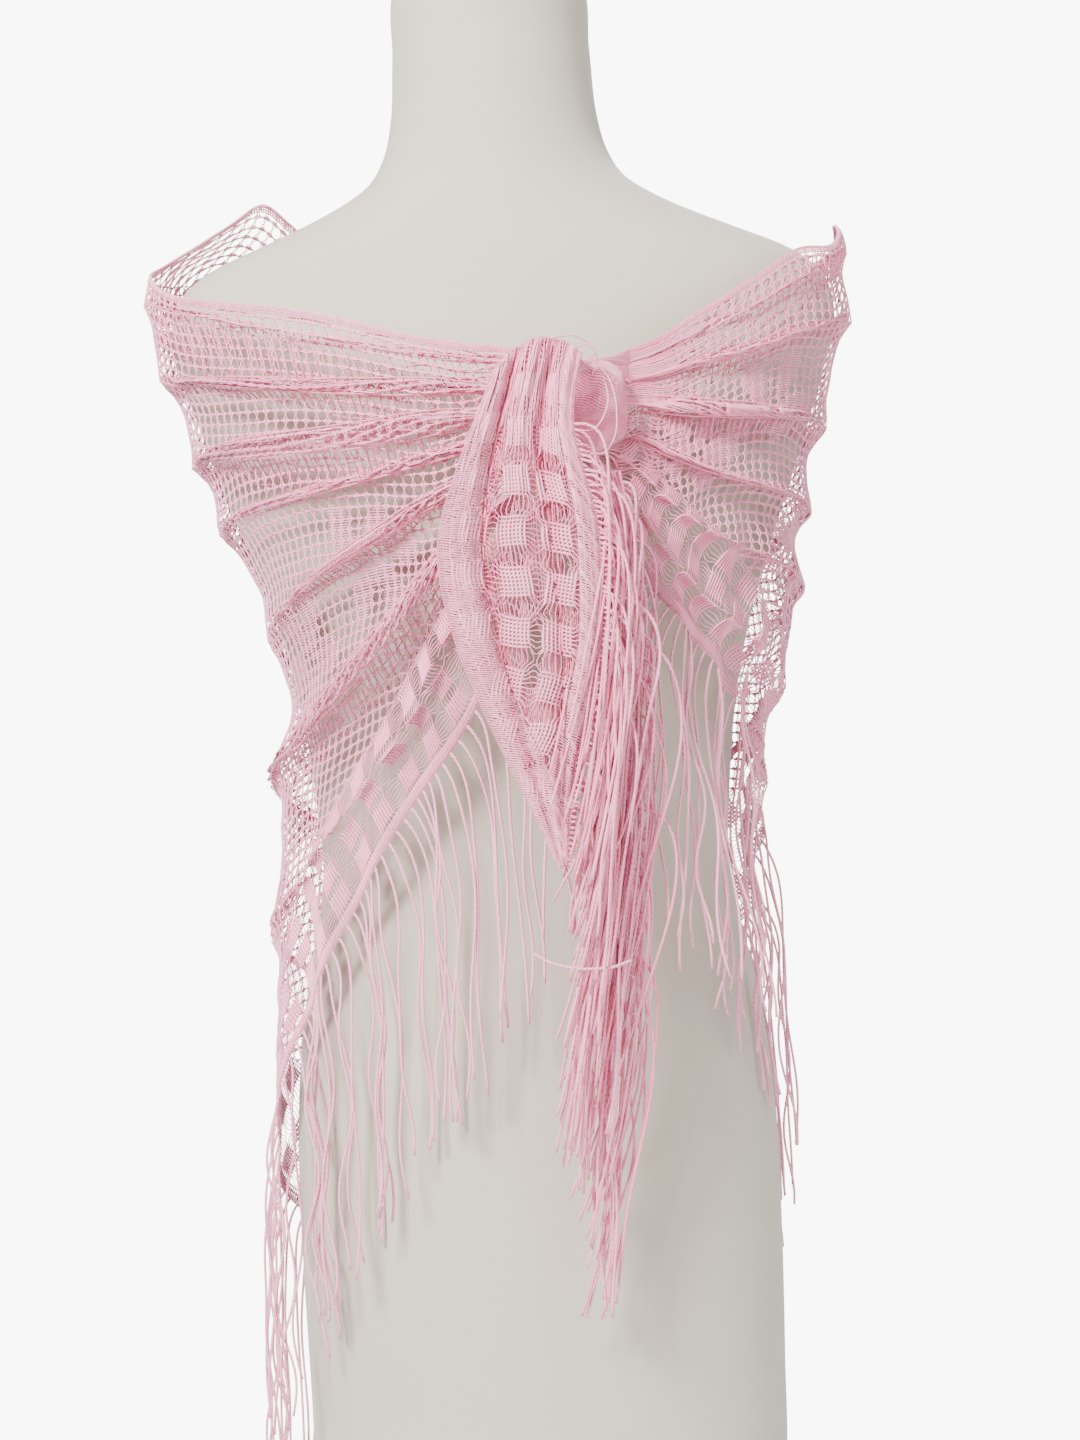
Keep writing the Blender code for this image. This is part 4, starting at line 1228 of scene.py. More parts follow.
@dataclass
class Strands:
    """Fringe: twisted cords that leave an edge in a small arc and hang down."""

    form: FormShape
    length: float = 0.180
    uneven: float = 0.012
    radius: float = 0.00080
    points: int = 32
    arc: float = 0.017
    cling: float = 0.8
    sway: float = 0.0040
    drift: float = 0.045
    clearance: float = 0.0035

    def hang(self, roots: np.ndarray, leaving: np.ndarray, seed: int
             ) -> tuple[np.ndarray, np.ndarray]:
        """Paths of cords: the way each leaves fades out as it turns down, summed step by step.

        Args:
            roots: Where the cords leave the edge, (cords, 3).
            leaving: Unit vectors of the way they leave.
            seed: Which uneven set to draw.

        Returns:
            The paths and the directions that their rings face.
        """
        rng = np.random.default_rng(seed)
        count = len(roots)
        length = self.length + self.uneven * rng.uniform(-1.0, 1.0, count)
        share = np.linspace(0.0, 1.0, self.points)[None] ** 1.15
        run = share * length[:, None]
        arc = self.arc * rng.uniform(0.7, 1.5, (count, 1))
        fade = np.exp(-run / arc)[..., None]
        down = np.array([0.0, 0.0, -1.0])
        outward = leaving * np.array([1.0, 1.0, 0.0])
        side = unit(np.cross(down, unit(outward)))
        phase = rng.uniform(0.0, FULL_TURN, (count, 1))
        waves = rng.uniform(1.0, 2.4, (count, 1))
        bend = np.cos(phase + FULL_TURN * waves * share) * waves * self.sway * FULL_TURN
        bend = bend / self.length + self.drift * rng.normal(0.0, 1.0, (count, 1))
        hanging = down + side[:, None] * bend[..., None]
        heading = unit(leaving[:, None] * fade + hanging * (1.0 - fade))
        step = np.diff(run, axis=1)[..., None]
        middle = 0.5 * (heading[:, 1:] + heading[:, :-1])
        walked = np.concatenate([np.zeros((count, 1, 3)), (middle * step).cumsum(axis=1)], axis=1)
        path = roots[:, None] + walked
        pairs = count // 2 * 2
        partner = path[:pairs].reshape(-1, 2, *path.shape[1:])
        pull = self.cling * rng.uniform(0.0, 1.0, (pairs // 2, 1, 1, 1)) ** 0.7
        pull = pull * np.sin(np.pi * np.clip(share - 0.12, 0.0, 1.0) ** 0.7)[..., None] ** 2
        partner = partner + (partner.mean(axis=1, keepdims=True) - partner) * pull
        path[:pairs] = partner.reshape(pairs, *path.shape[1:])
        path = self.form.off(path, self.clearance)
        facing = np.broadcast_to(unit(outward)[:, None] + np.array([0.0, 0.0, 0.2]), path.shape)
        return path, facing


class Hem(Enum):
    """Fringed stretches of the hem: piece name, node it stands for, start, end and uneven set."""

    LEFT = ("cords_left", "fringe_left", 0.400, LEFT_SIDE_AT, 31)
    BACK = ("cords_back", "fringe_back", LEFT_SIDE_AT, RIGHT_SIDE_AT, 32)
    RIGHT = ("cords_right", "fringe_right", RIGHT_SIDE_AT, 1.318, 33)


@dataclass
class WrapFringe:
    """The fringe along the hem round the body, one cord about every 7.5 mm."""

    drape: Drape
    strands: Strands
    spacing: float = 0.0075
    inner_step: float = 0.006
    hem_step: float = 0.003
    squaring: float = 0.9
    outward: float = 0.25

    def build(self, hem: Hem, material: bpy.types.Material) -> bpy.types.Object:
        """Make the cords of one stretch of hem; they leave it square to its run and outwards.

        Args:
            hem: Which stretch.
            material: The cord's finish.

        Returns:
            The new piece.
        """
        name, node, start, end, seed = hem.value
        count = int((end - start) * HEM_RISE / self.spacing)
        at = np.linspace(start, end, count + 2)[1:-1]
        across = self.drape.depth(at)
        roots, normal = self.drape.surface(at, across)
        inner, _ = self.drape.surface(at, across - self.inner_step)
        further = across + np.sign(0.5 * LONG_EDGE - at) * self.hem_step * CORNER_SLOPE
        along, _ = self.drape.surface(at + self.hem_step, further)
        way = unit(along - roots)
        leaving = unit(roots - inner)
        leaving = unit(leaving - way * (leaving * way).sum(axis=-1, keepdims=True) * self.squaring)
        leaving = unit(leaving + self.outward * normal)
        mesh = ThreadMesh(CORD_SIDES)
        path, facing = self.strands.hang(roots, leaving, seed)
        mesh.add(path, facing, self.strands.radius, STRAND_PINK)
        return mesh.make(name, material, "cord", node)


@dataclass
class Tail:
    """A hanging tail of gathered lace, between a ribbed edge and the fringed hem.

    Places on it are shares: along, from its top to its tip, and across, from the ribbed edge
    to the hem.  Its lattice is counted in metres from the hem, as the border's is.
    """

    name: str
    node: str
    flat: tuple[float, float]
    outline: dict[str, np.ndarray]
    lobes: dict[str, np.ndarray]
    front: float
    behind: float
    lobe_depth: float
    arch: float
    columns: tuple[float, ...]
    ribbed_width: float
    hem_width: float
    fine_pleats: float = 11.0
    fine_depth: float = 0.0016
    full_width: float = 0.0855
    patch_pitch: float = 0.0262
    patch_half: float = 0.0072
    threads: int = 8
    bar_radius: float = 0.00034
    patch_radius: float = 0.00086
    rib_radius: float = 0.00044
    column_pitch: float = 0.0230
    row_lean: float = 0.16
    fanning: float = 0.55
    stray: float = 0.0024
    near: float = 0.004
    gather_reach: float = 0.12
    upright_patch: float = 0.28
    crossing_splay: float = 0.31
    top_end: float = 0.14
    upright_step: float = 0.0027
    rib_pitch: float = 0.0012
    edge_step: float = 0.0040
    gather_lines: int = 64
    gather_waves: tuple[Point, ...] = ((0.014, 19.0, 40.0), (0.007, 53.0, 90.0))
    rung_waves: tuple[Point, ...] = ((0.010, 29.0, 11.0), (0.006, 67.0, 0.0))
    backing_waves: tuple[Point, ...] = ((0.020, 9.0, 6.0), (0.006, 31.0, 50.0))
    backing_rung_waves: tuple[Point, ...] = ((0.012, 21.0, 17.0),)
    open_below: float = -0.62
    backing_pitch: float = 0.0017
    backing_step: float = 0.0042
    backing_rung_pitch: float = 0.0060
    rung_radius: float = 0.00036
    backing_radius: float = 0.00048
    backing_rung_radius: float = 0.00040

    def __post_init__(self) -> None:
        """Work out how far along each row of the outline lies."""
        steps = np.hypot(np.diff(self.outline["height"]), np.diff(self.outline["forward"]))
        run = np.concatenate([[0.0], steps.cumsum()])
        self.length = float(run[-1])
        self.run = run / self.length
        widths = np.abs(self.outline["right"] - self.outline["left"])
        self.widest = float(self.run[np.argmax(widths)])

    def width(self, along: np.ndarray) -> np.ndarray:
        """Width of the hanging tail in metres."""
        return np.abs(smooth(along, self.run, self.outline["right"])
                      - smooth(along, self.run, self.outline["left"]))

    def share_of(self, along: np.ndarray, distance: float | np.ndarray) -> np.ndarray:
        """Share of the width that a distance in metres takes up; the gathered top squeezes it."""
        width = self.width(along)
        squeeze = np.where(along < self.widest, np.minimum(width / self.full_width, 1.0), 1.0)
        return distance * squeeze / np.maximum(width, 0.001)

    def bands(self, along: np.ndarray) -> tuple[np.ndarray, np.ndarray]:
        """Shares of the width that the ribbed edge and the hem take up."""
        return (np.minimum(self.share_of(along, self.ribbed_width), 0.62),
                np.minimum(self.share_of(along, self.hem_width), 0.50))

    def lobe(self, across: np.ndarray) -> np.ndarray:
        """How far the cloth bellies out: the root of |sin| over each lobe, nought in valleys."""
        turn = np.interp(across, self.lobes["across"], self.lobes["count"])
        return np.abs(np.sin(np.pi * turn)) ** 0.6

    def sheet(self, along: np.ndarray, across: np.ndarray, behind: float) -> np.ndarray:
        """Points: the outline, set in upright lobes under an arched top.

        Args:
            along: Share of the way to the tip.
            across: Share of the way to the hem.
            behind: How far a second layer of the cloth lies behind the first.

        Returns:
            The points.
        """
        along, across = np.broadcast_arrays(np.asarray(along, float), np.asarray(across, float))
        height, left, right, forward = (smooth(along, self.run, self.outline[name])
                                        for name in self.outline)
        wander = 0.05 * np.sin(4.0 * along + 0.6) * np.sin(np.pi * np.clip(across, 0.0, 1.0))
        held = np.clip(across + wander, 0.0, 1.0)
        slimmer = (1.0 - np.clip(along, 0.0, 1.0) ** 3) * np.clip(along / 0.10, 0.25, 1.0)
        fine = np.cos(FULL_TURN * (self.fine_pleats * held + 0.5 * (behind > 0.0)))
        gathered = np.exp(-along / 0.30)
        out = self.lobe_depth * slimmer * self.lobe(held) + self.fine_depth * gathered * fine
        drop = self.arch * np.abs(2.0 * across - 1.1) ** 2.2 * np.exp(-along / self.gather_reach)
        y = self.front - forward - WALL - GAP - out + behind
        return np.stack([left + (right - left) * across, y, NECK_POINT + height - drop], axis=-1)

    def lay(self, mesh: ThreadMesh, along: np.ndarray, across: np.ndarray,
            radius: float | np.ndarray, lift: float, valid: np.ndarray | None = None,
            behind: float = 0.0) -> None:
        """Lay threads through places on the tail: deeper pink in its valleys, which is painted shade,
        and on the layer behind.

        Args:
            mesh: Where the threads go.
            along: Shares of the way to the tip.
            across: Shares of the way to the hem.
            radius: The threads' radius.
            lift: How far they lie off their layer.
            valid: Which stretches between neighbouring points are made.
            behind: How far their layer lies behind the front one.
        """
        along, across = np.broadcast_arrays(along, across)
        points = self.sheet(along, across, behind)
        near = self.near
        sideways = self.sheet(along, across + near, behind) - self.sheet(along, across - near, behind)
        downwards = self.sheet(along + near, across, behind) - self.sheet(along - near, across, behind)
        normal = unit(np.cross(downwards, sideways))
        normal = normal * -np.sign(normal[..., 1:2] + 1e-6)
        valley = 1.0 - self.lobe(np.clip(across, 0.0, 1.0))
        thick = np.clip((np.asarray(radius) - self.bar_radius) / 0.0002, 0.0, 1.0)
        # painted shade: deeper pink in the lobes' valleys; deeper at the gathered top and on the layer
        # behind for the layered cloth; paler on the thick patch threads
        layers_and_shade = 0.30 + 0.70 * valley ** 1.5 + 0.40 * np.exp(-along / self.gather_reach) - 0.32 * thick
        layers_and_shade = np.clip(layers_and_shade + 0.50 * (behind > 0.0), 0.0, 1.0)
        mesh.add(points + normal * lift, normal, radius, layers_and_shade, valid)

    def build(self, material: bpy.types.Material) -> bpy.types.Object:
        """Args:
            material: The yarn's finish.

        Returns:
            The new piece.
        """
        mesh = ThreadMesh()
        self.weave(mesh)
        self.backing(mesh)
        piece = mesh.make(self.name, material, "lace", self.node)
        return piece

    def weave(self, mesh: ThreadMesh) -> None:
        """Weave the front layer: a lattice of loose threads, the ribbed edge and the hem."""
        offsets = np.linspace(-self.patch_half, self.patch_half, self.threads)
        extra = self.patch_radius - self.bar_radius
        self.uprights(mesh, offsets, extra)
        self.crossings(mesh, offsets, extra)
        self.edges(mesh)
        self.gathers(mesh)

    def drift(self, metres: np.ndarray, seed: int) -> np.ndarray:
        """How far the lattice strays from even, in metres, along one of its lines."""
        return self.stray * even_noise(metres * 14.0, seed)

    def uprights(self, mesh: ThreadMesh, offsets: np.ndarray, extra: float) -> None:
        """Bands of threads down the tail: close in the patches, fanned out between them."""
        along = np.linspace(0.0, 1.0, int(self.length / self.upright_step))[None]
        for number, centre in enumerate(self.columns):
            metres = along * self.length + self.row_lean * centre - self.drift(centre + along, 70)
            place = metres / self.patch_pitch
            dense = in_patch(place, self.upright_patch)
            fan = 1.0 + self.fanning * splay(place, self.upright_patch)
            distance = centre + offsets[:, None] * fan + self.drift(along * self.length, 80 + number)
            lines = 1.0 - self.share_of(along, distance)
            clear = lines[:, 1:] > 0.3 * self.ribbed_width / self.full_width
            valid = clear & (along[:, 1:] > self.top_end)
            self.lay(mesh, along, lines, self.bar_radius + extra * dense, 0.0003, valid)

    def crossings(self, mesh: ThreadMesh, offsets: np.ndarray, extra: float) -> None:
        """Bands of threads across the tail, which lean down towards the hem."""
        distance = np.linspace(0.6 * self.hem_width, self.full_width, 50)[None]
        place = (distance - self.columns[0]) / self.column_pitch
        dense = in_patch(place, self.patch_half / self.column_pitch + 0.03)
        fan = 1.0 + self.fanning * splay(place, self.crossing_splay)
        for row in np.arange(1.0, np.ceil(self.length / self.patch_pitch) + 1.0):
            metres = (row * self.patch_pitch + offsets[:, None] * fan - self.row_lean * distance
                      + self.drift(distance + 0.31 * row, 70))
            across = 1.0 - self.share_of(metres / self.length, distance)
            inside = (across > 0.0) & (metres < 0.97 * self.length) & (metres > 0.17 * self.length)
            self.lay(mesh, metres / self.length, across, self.bar_radius + extra * dense,
                     -0.0002, inside[:, 1:])

    def edges(self, mesh: ThreadMesh) -> None:
        """The ribbed edge and the hem: fine wavy ribs across, close threads along."""
        climb = np.linspace(0.0, 1.0, int(self.length / self.rib_pitch))[:, None]
        share = np.linspace(0.0, 1.0, 6)[None]
        ribbed, hem = self.bands(climb)
        slant = 0.0040 / self.length
        wave = 0.0009 / self.length * even_noise(climb * 23.0 + 0.8 * share, 90)
        self.lay(mesh, np.clip(climb + 0.6 * slant * share + wave, 0.0, 1.0), ribbed * share,
                 self.rib_radius, 0.0006)
        self.lay(mesh, np.clip(climb - 2.0 * slant * share + wave, 0.0, 1.0), 1.0 - hem * share,
                 self.rib_radius, 0.0006)
        along = np.linspace(0.0, 1.0, int(self.length / self.edge_step))[None]
        ribbed, hem = self.bands(along)
        ribbed = ribbed * (1.0 + 0.12 * even_noise(along * 7.0, 91))
        for across in (np.linspace(0.0, 1.0, 7)[:, None] * ribbed,
                       1.0 - np.linspace(0.0, 1.0, 5)[:, None] * hem):
            self.lay(mesh, along, across, self.rib_radius, 0.0002)

    def gathers(self, mesh: ThreadMesh) -> None:
        """The gathered top: close uneven threads that run down into the lattice and fade out."""
        lines = np.linspace(0.01, 0.99, self.gather_lines)[:, None]
        along = np.linspace(0.0, 0.36, 44)[None]
        wander = sines(along, lines, self.gather_waves)
        lasts = 0.20 + 0.15 * np.abs(even_noise(lines * 17.0, 92))
        valid = along[:, 1:] < lasts
        self.lay(mesh, along, np.clip(lines + wander, 0.0, 1.0), self.rib_radius, 0.0004, valid)
        rungs = np.linspace(0.004, 0.22, 24)[:, None]
        span = np.linspace(0.0, 1.0, 50)[None]
        ripple = sines(span, rungs, self.rung_waves)
        self.lay(mesh, np.clip(rungs + ripple, 0.0, 1.0), span, self.rung_radius, 0.0)

    def closed(self, along: np.ndarray, across: np.ndarray) -> np.ndarray:
        """Which stretches of the layer behind are made: it is open in a few uneven places."""
        uneven = even_noise(along * 3.1 + 1.7 * across, 93) + 0.8 * even_noise(across * 2.3 - along, 94)
        return uneven[:, 1:] > self.open_below

    def backing(self, mesh: ThreadMesh) -> None:
        """The layer behind: close upright threads with bars across them, deep pink."""
        lines = np.linspace(0.03, 0.97, int(self.full_width / self.backing_pitch))[:, None]
        along = np.linspace(0.02, 0.95, int(self.length / self.backing_step))[None]
        wander = sines(along, lines, self.backing_waves)
        across = np.clip(lines + wander, 0.0, 1.0)
        self.lay(mesh, along, across, self.backing_radius, 0.0, self.closed(along, lines),
                 self.behind)
        rungs = np.linspace(0.03, 0.90, int(self.length / self.backing_rung_pitch))[:, None]
        span = np.linspace(0.04, 0.96, 34)[None]
        ripple = sines(span, rungs, self.backing_rung_waves)
        self.lay(mesh, rungs + ripple, span, self.backing_rung_radius, 0.0,
                 self.closed(rungs, span), self.behind + 0.0003)

    def edge_roots(self, count: int, first: float, across: float) -> np.ndarray:
        """Roots of cords, evenly spaced along one edge from a share of its length."""
        along = np.linspace(first, 0.995, count)
        return self.sheet(along, np.full(count, across), 0.0)


@dataclass
class TailFringe:
    """Cords along a tail's fringed edges: they leave sideways and fall into one bundle.

    Each cord is drawn towards the bundle's middle, "focus", by the share of its length to the
    power 1.9, and strays from it; the cords of one bundle lie in layers one behind another.
    """

    strands: Strands
    face: float
    layers: float = 0.013
    focus: float = 0.013
    gather: float = 0.52
    loose: float = 0.0062
    drawing: float = 1.9

    def build(self, name: str, node: str, roots: np.ndarray, way: float, seed: int,
              material: bpy.types.Material, lying: tuple[tuple[Point, ...], ...] = ()
              ) -> bpy.types.Object:
        """Make a tail's cords.

        Args:
            name: The piece's name.
            node: The node that it stands for.
            roots: Where the cords leave the tail.
            way: One where they leave to the viewer's right, less where some leave to the left.
            seed: Which uneven set to draw.
            material: The cord's finish.
            lying: Places of the cords that lie across the bundle.

        Returns:
            The new piece.
        """
        rng = np.random.default_rng(seed)
        count = len(roots)
        leaving = np.stack([way * rng.uniform(0.6, 1.0, count), rng.uniform(-0.5, 0.8, count),
                            rng.uniform(-0.5, 0.1, count)], axis=-1)
        path, facing = self.strands.hang(roots, unit(leaving), seed)
        share = np.linspace(0.0, 1.0, path.shape[1])
        goal = self.focus + (roots[:, 0] - self.focus) * self.gather
        goal = goal + rng.normal(0.0, self.loose, count)
        stray = self.loose * np.abs(rng.normal(0.0, 1.0, count))
        stray = stray * rng.choice((1.0, 1.0 if way >= 1.0 else -1.0), count)
        spread = stray[:, None] * np.sin(np.pi * share ** 0.6)
        pull = (share ** self.drawing)[None] * (goal - path[:, -1, 0])[:, None] + spread
        depth = (share ** 0.5)[None] * self.layers * rng.uniform(-0.3, 1.0, count)[:, None]
        path = path + np.stack([pull, depth, np.zeros_like(pull)], axis=-1)
        path = self.strands.form.off(path, self.strands.clearance)
        mesh = ThreadMesh(CORD_SIDES)
        layers_and_shade = rng.uniform(0.05, 0.75, count)[:, None]
        mesh.add(path, facing, self.strands.radius, layers_and_shade)
        for place in lying:
            lay_loose(mesh, place, self.face, self.strands.radius)
        return mesh.make(name, material, "cord", node)


@dataclass(frozen=True)
class Join:
    """A sheaf of the right wrap's rows that runs over the knot's end, in pleats.

    Its shares of the wrap's depth are "rows"; "turns" and "ends" are the angles round the
    knot where it passes the knot's end and where it stops, and "bulge" its size there.
    """

    threads: int
    pleats: float
    rows: tuple[float, float]
    turns: tuple[float, float]
    ends: tuple[float, float]
    bulge: float


@dataclass
class Knot:
    """The knot: a barrel of gathered cloth lying across, with a deep groove along its front."""

    back: float
    front: float
    centre_x: float = 0.0355
    centre_height: float = -0.150
    half_height: float = 0.0340
    squareness: tuple[float, float] = (0.92, 1.0)
    profile: dict[str, np.ndarray] = field(default_factory=lambda: table("across size", [
        (-0.0270, 0.55),
        (-0.0240, 0.84),
        (-0.0160, 0.965),
        (-0.0050, 0.960),
        (0.0040, 0.860),
        (0.0090, 0.840),
        (0.0130, 0.870),
        (0.0190, 0.840),
        (0.0245, 0.760),
        (0.0280, 0.660),
        (0.0300, 0.560),
    ]))
    ridges: int = 8
    ridge_depth: float = 0.13
    groove_turn: float = 3.74
    groove_depth: float = 0.62
    groove_spread: float = 0.52
    core_share: float = 0.955
    rise: float = 0.50
    bend: float = 0.85
    join_reach: float = 0.045
    join_start: float = 0.012
    joins: tuple[Join, ...] = (Join(72, 5.0, (0.0, 0.46), (1.55, 3.15), (2.25, 3.06), 1.14),
                               Join(20, 2.0, (0.54, 0.82), (4.30, 4.90), (4.00, 4.45), 1.06))
    join_steps: int = 16
    join_lead: int = 10
    turn_pitch: float = 0.0042
    turn_radius: float = 0.00036
    turn_waves: tuple[Point, ...] = ((0.0034, 3.0, 90.0), (0.0016, 7.0, 0.0))
    yarns: int = 132
    yarn_waves: tuple[Point, ...] = ((0.16, 95.0, 2.0), (0.03, 430.0, 9.0))
    yarn_radius: float = 0.00056
    loose_radius: float = 0.00052
    deep_pink: float = 0.55

    def surface(self, across: float | np.ndarray, turn: np.ndarray,
                share: float | np.ndarray) -> np.ndarray:
        """Points of the barrel: squared ellipses in the y-z plane, ridged round, along x.

        Towards the viewer's right its underside rises and it bends back into the cloth.

        Args:
            across: Metres from the knot's centre along x.
            turn: Angle round the barrel, in radians.
            share: Share of the barrel's full size.

        Returns:
            The points.
        """
        across, turn = np.broadcast_arrays(np.asarray(across, float), np.asarray(turn, float))
        size = share * smooth(across, self.profile["across"], self.profile["size"])
        wobble = 1.5 * np.sin(75.0 * across + 0.6) + 0.8 * np.sin(2.0 * turn)
        reach = size * (1.0 - self.ridge_depth * (0.5 - 0.5 * np.cos(self.ridges * turn + wobble)))
        groove = np.exp(-((np.mod(turn, FULL_TURN) - self.groove_turn) / self.groove_spread) ** 2)
        reach = reach * (1.0 - self.groove_depth * groove)
        deep, tall = self.squareness
        cosine, sine = np.cos(turn), np.sin(turn)
        bent = self.bend * np.clip((across - 0.004) / 0.026, 0.0, 1.0) ** 1.4
        y = (0.5 * (self.back + self.front) + 0.5 * (self.back - self.front)
             * (bent + reach * np.sign(cosine) * np.abs(cosine) ** deep))
        rising = self.rise * np.clip((across + 0.005) / 0.035, 0.0, 1.0)
        tallness = self.half_height * np.where(sine < 0.0, 1.0 - rising, 1.0)
        z = (NECK_POINT + self.centre_height
             + tallness * reach * np.sign(sine) * np.abs(sine) ** tall)
        return np.stack([self.centre_x + across, y, z], axis=-1)

    def join(self, mesh: ThreadMesh, drape: Drape) -> None:
        """Run the right wrap's rows over the knot's end: (1-s)^2 row + 2s(1-s) end + s^2 fold.

        They gather into pleats as they go, and leave the knot's hollow open.

        Args:
            mesh: Where the threads go.
            drape: The drape that the rows lie on.
        """
        depth = float(drape.depth(np.array(RIGHT_KNOT_AT)))
        share = np.linspace(0.0, 1.0, self.join_steps)[None, :, None]
        lifted = np.linspace(0.0, 1.0, self.join_lead)
        for join in self.joins:
            number = np.linspace(0.0, 1.0, join.threads)
            ridge = np.abs(np.sin(np.pi * join.pleats * number))
            stray = 0.05 * even_noise(number * 9.0, 95)
            across = depth * np.linspace(*join.rows, join.threads)[:, None]
            reach = self.join_reach * (1.0 + even_noise(number * 21.0, 97))[:, None]
            at = RIGHT_KNOT_AT - self.join_start - reach * (1.0 - lifted)
            outer, normal = drape.surface(at, across)
            outer = outer + (0.0004 + 0.0008 * lifted[:, None]) * normal
            middle = self.surface(0.0205, np.linspace(*join.turns, join.threads) + stray,
                                  join.bulge - 0.12 + 0.18 * ridge)
            inner = self.surface(-0.004, np.linspace(*join.ends, join.threads) - stray,
                                 0.97 + 0.05 * ridge)
            over = ((1.0 - share) ** 2 * outer[:, -1:] + 2.0 * share * (1.0 - share) * middle[:, None]
                    + share ** 2 * inner[:, None])
            path = np.concatenate([outer[:, :-1], over], axis=1)
            facing = np.broadcast_to(np.array([0.1, -1.0, 0.2]), path.shape)
            # painted shade: deeper pink in the pleats' valleys and as the threads turn in under the knot
            deepening = np.concatenate([np.zeros(self.join_lead - 1), share[0, :, 0]])
            layers_and_shade = np.clip(0.85 - 0.70 * ridge[:, None] + 0.25 * deepening, 0.0, 1.0)
            mesh.add(path, facing, self.loose_radius, layers_and_shade)

    def build(self, material: bpy.types.Material, drape: Drape) -> bpy.types.Object:
        """Make the gathered yarns of the knot, and the deep pink core under them, whose deep pink is
        partly painted shade inside the knot.

        Args:
            material: The yarn's finish.
            drape: The drape that runs into the knot.

        Returns:
            The piece of yarns.
        """
        mesh = ThreadMesh()
        low, high = self.profile["across"][0], self.profile["across"][-1]
        turn = np.linspace(0.0, FULL_TURN, 97)[None]
        across = np.arange(low + 0.001, high - 0.0005, self.turn_pitch)[:, None]
        lean = sines(turn, across, self.turn_waves)
        self.wind(mesh, across + lean, turn, 0.985, self.turn_radius, self.deep_pink)
        lines = np.linspace(0.0, FULL_TURN, self.yarns, endpoint=False)[:, None]
        length = np.linspace(low + 0.0008, high - 0.0008, 40)[None]
        twist = sines(length, lines, self.yarn_waves)
        # painted shade: the yarns run deeper pink along the groove on the knot's front
        deep = np.exp(-((lines - self.groove_turn) / self.groove_spread) ** 2)
        self.wind(mesh, length, lines + twist, 0.995, self.yarn_radius,
                  self.deep_pink + (1.0 - self.deep_pink) * deep)
        for loop in LOOSE_LOOPS:
            lay_loose(mesh, loop, self.front, self.loose_radius)
        self.join(mesh, drape)
        core = np.linspace(low, high, 24)
        angle = np.linspace(0.0, FULL_TURN, 88, endpoint=False)
        piece = mesh.make("knot_turns", material, "lace", "knot")
        shell = make_grid("knot_core", self.surface(core[:, None], angle[None], self.core_share),
                          material)
        # painted shade: the core is deep pink of gathered cloth, darkened for the shade inside the knot
        # seen between the yarns
        shade_deep(shell, 0.95)
        dress(shell, "lace")
        return piece

    def wind(self, mesh: ThreadMesh, across: np.ndarray, turn: np.ndarray, share: float,
             radius: float, layers_and_shade: float | np.ndarray) -> None:
        """Lay yarns over the barrel through places on it."""
        points = self.surface(across, turn, share)
        middle = np.stack([points[..., 0], np.full(points.shape[:-1], 0.5 * (self.back + self.front)),
                           np.full(points.shape[:-1], NECK_POINT + self.centre_height)], axis=-1)
        mesh.add(points, unit(points - middle), radius, layers_and_shade)


def lay_loose(mesh: ThreadMesh, places: tuple[Point, ...], front: float, radius: float) -> None:
    """Lay one loose strand: a smooth curve through a few places.

    Args:
        mesh: Where it goes.
        places: x, height over the neck point, and how far before the knot's face.
        front: The knot's face.
        radius: The strand's radius.
    """
    across, height, forward = np.array(places).T
    share = np.linspace(0.0, 1.0, len(places))
    fine = np.linspace(0.0, 1.0, 12 * len(places))
    path = np.stack([smooth(fine, share, across), front - smooth(fine, share, forward),
                     NECK_POINT + smooth(fine, share, height)], axis=-1)
    facing = np.broadcast_to(np.array([0.0, -1.0, 0.0]), path.shape)
    mesh.add(path[None], facing[None], radius, STRAND_PINK)


def shade_deep(piece: bpy.types.Object, amount: float) -> None:
    """Give a plain surface one depth of pink, as the threads have; on the knot's core it is partly
    painted shade.
    """
    depth = piece.data.attributes.new("layers_and_shade", "FLOAT", "POINT")
    depth.data.foreach_set("value", np.full(len(piece.data.vertices), amount, dtype=np.float32))
    piece.data.uv_layers.new(name="UVMap")


@dataclass
class DressForm:
    """The limbless form: a smooth cover over neck, shoulders, waist and hips."""

    shape: FormShape
    rows: int = 220
    columns: int = 144

    def build(self, material: bpy.types.Material) -> bpy.types.Object:
        """Make the cover from the sections: half ellipses, x wide sin and y -deep cos."""
        heights, halves = self.shape.sections["height"], self.shape.sections["half_width"]
        run = np.concatenate([[0.0], np.hypot(np.diff(heights), np.diff(halves)).cumsum()])
        height = np.interp(np.linspace(0.0, run[-1], self.rows), run, heights)[::-1][:, None]
        angle = np.linspace(0.0, FULL_TURN, self.columns, endpoint=False)[None]
        wide = self.shape.reach(height, "half_width")
        deep = np.where(np.cos(angle) > 0.0, self.shape.reach(height, "front"),
                        self.shape.reach(height, "back"))
        x = wide * np.sin(angle)
        y = -deep * np.cos(angle)
        z = np.broadcast_to(NECK_POINT + height, x.shape)
        return dress(make_grid("form_cover", np.stack([x, y, z], axis=-1), material), "jersey", "form")


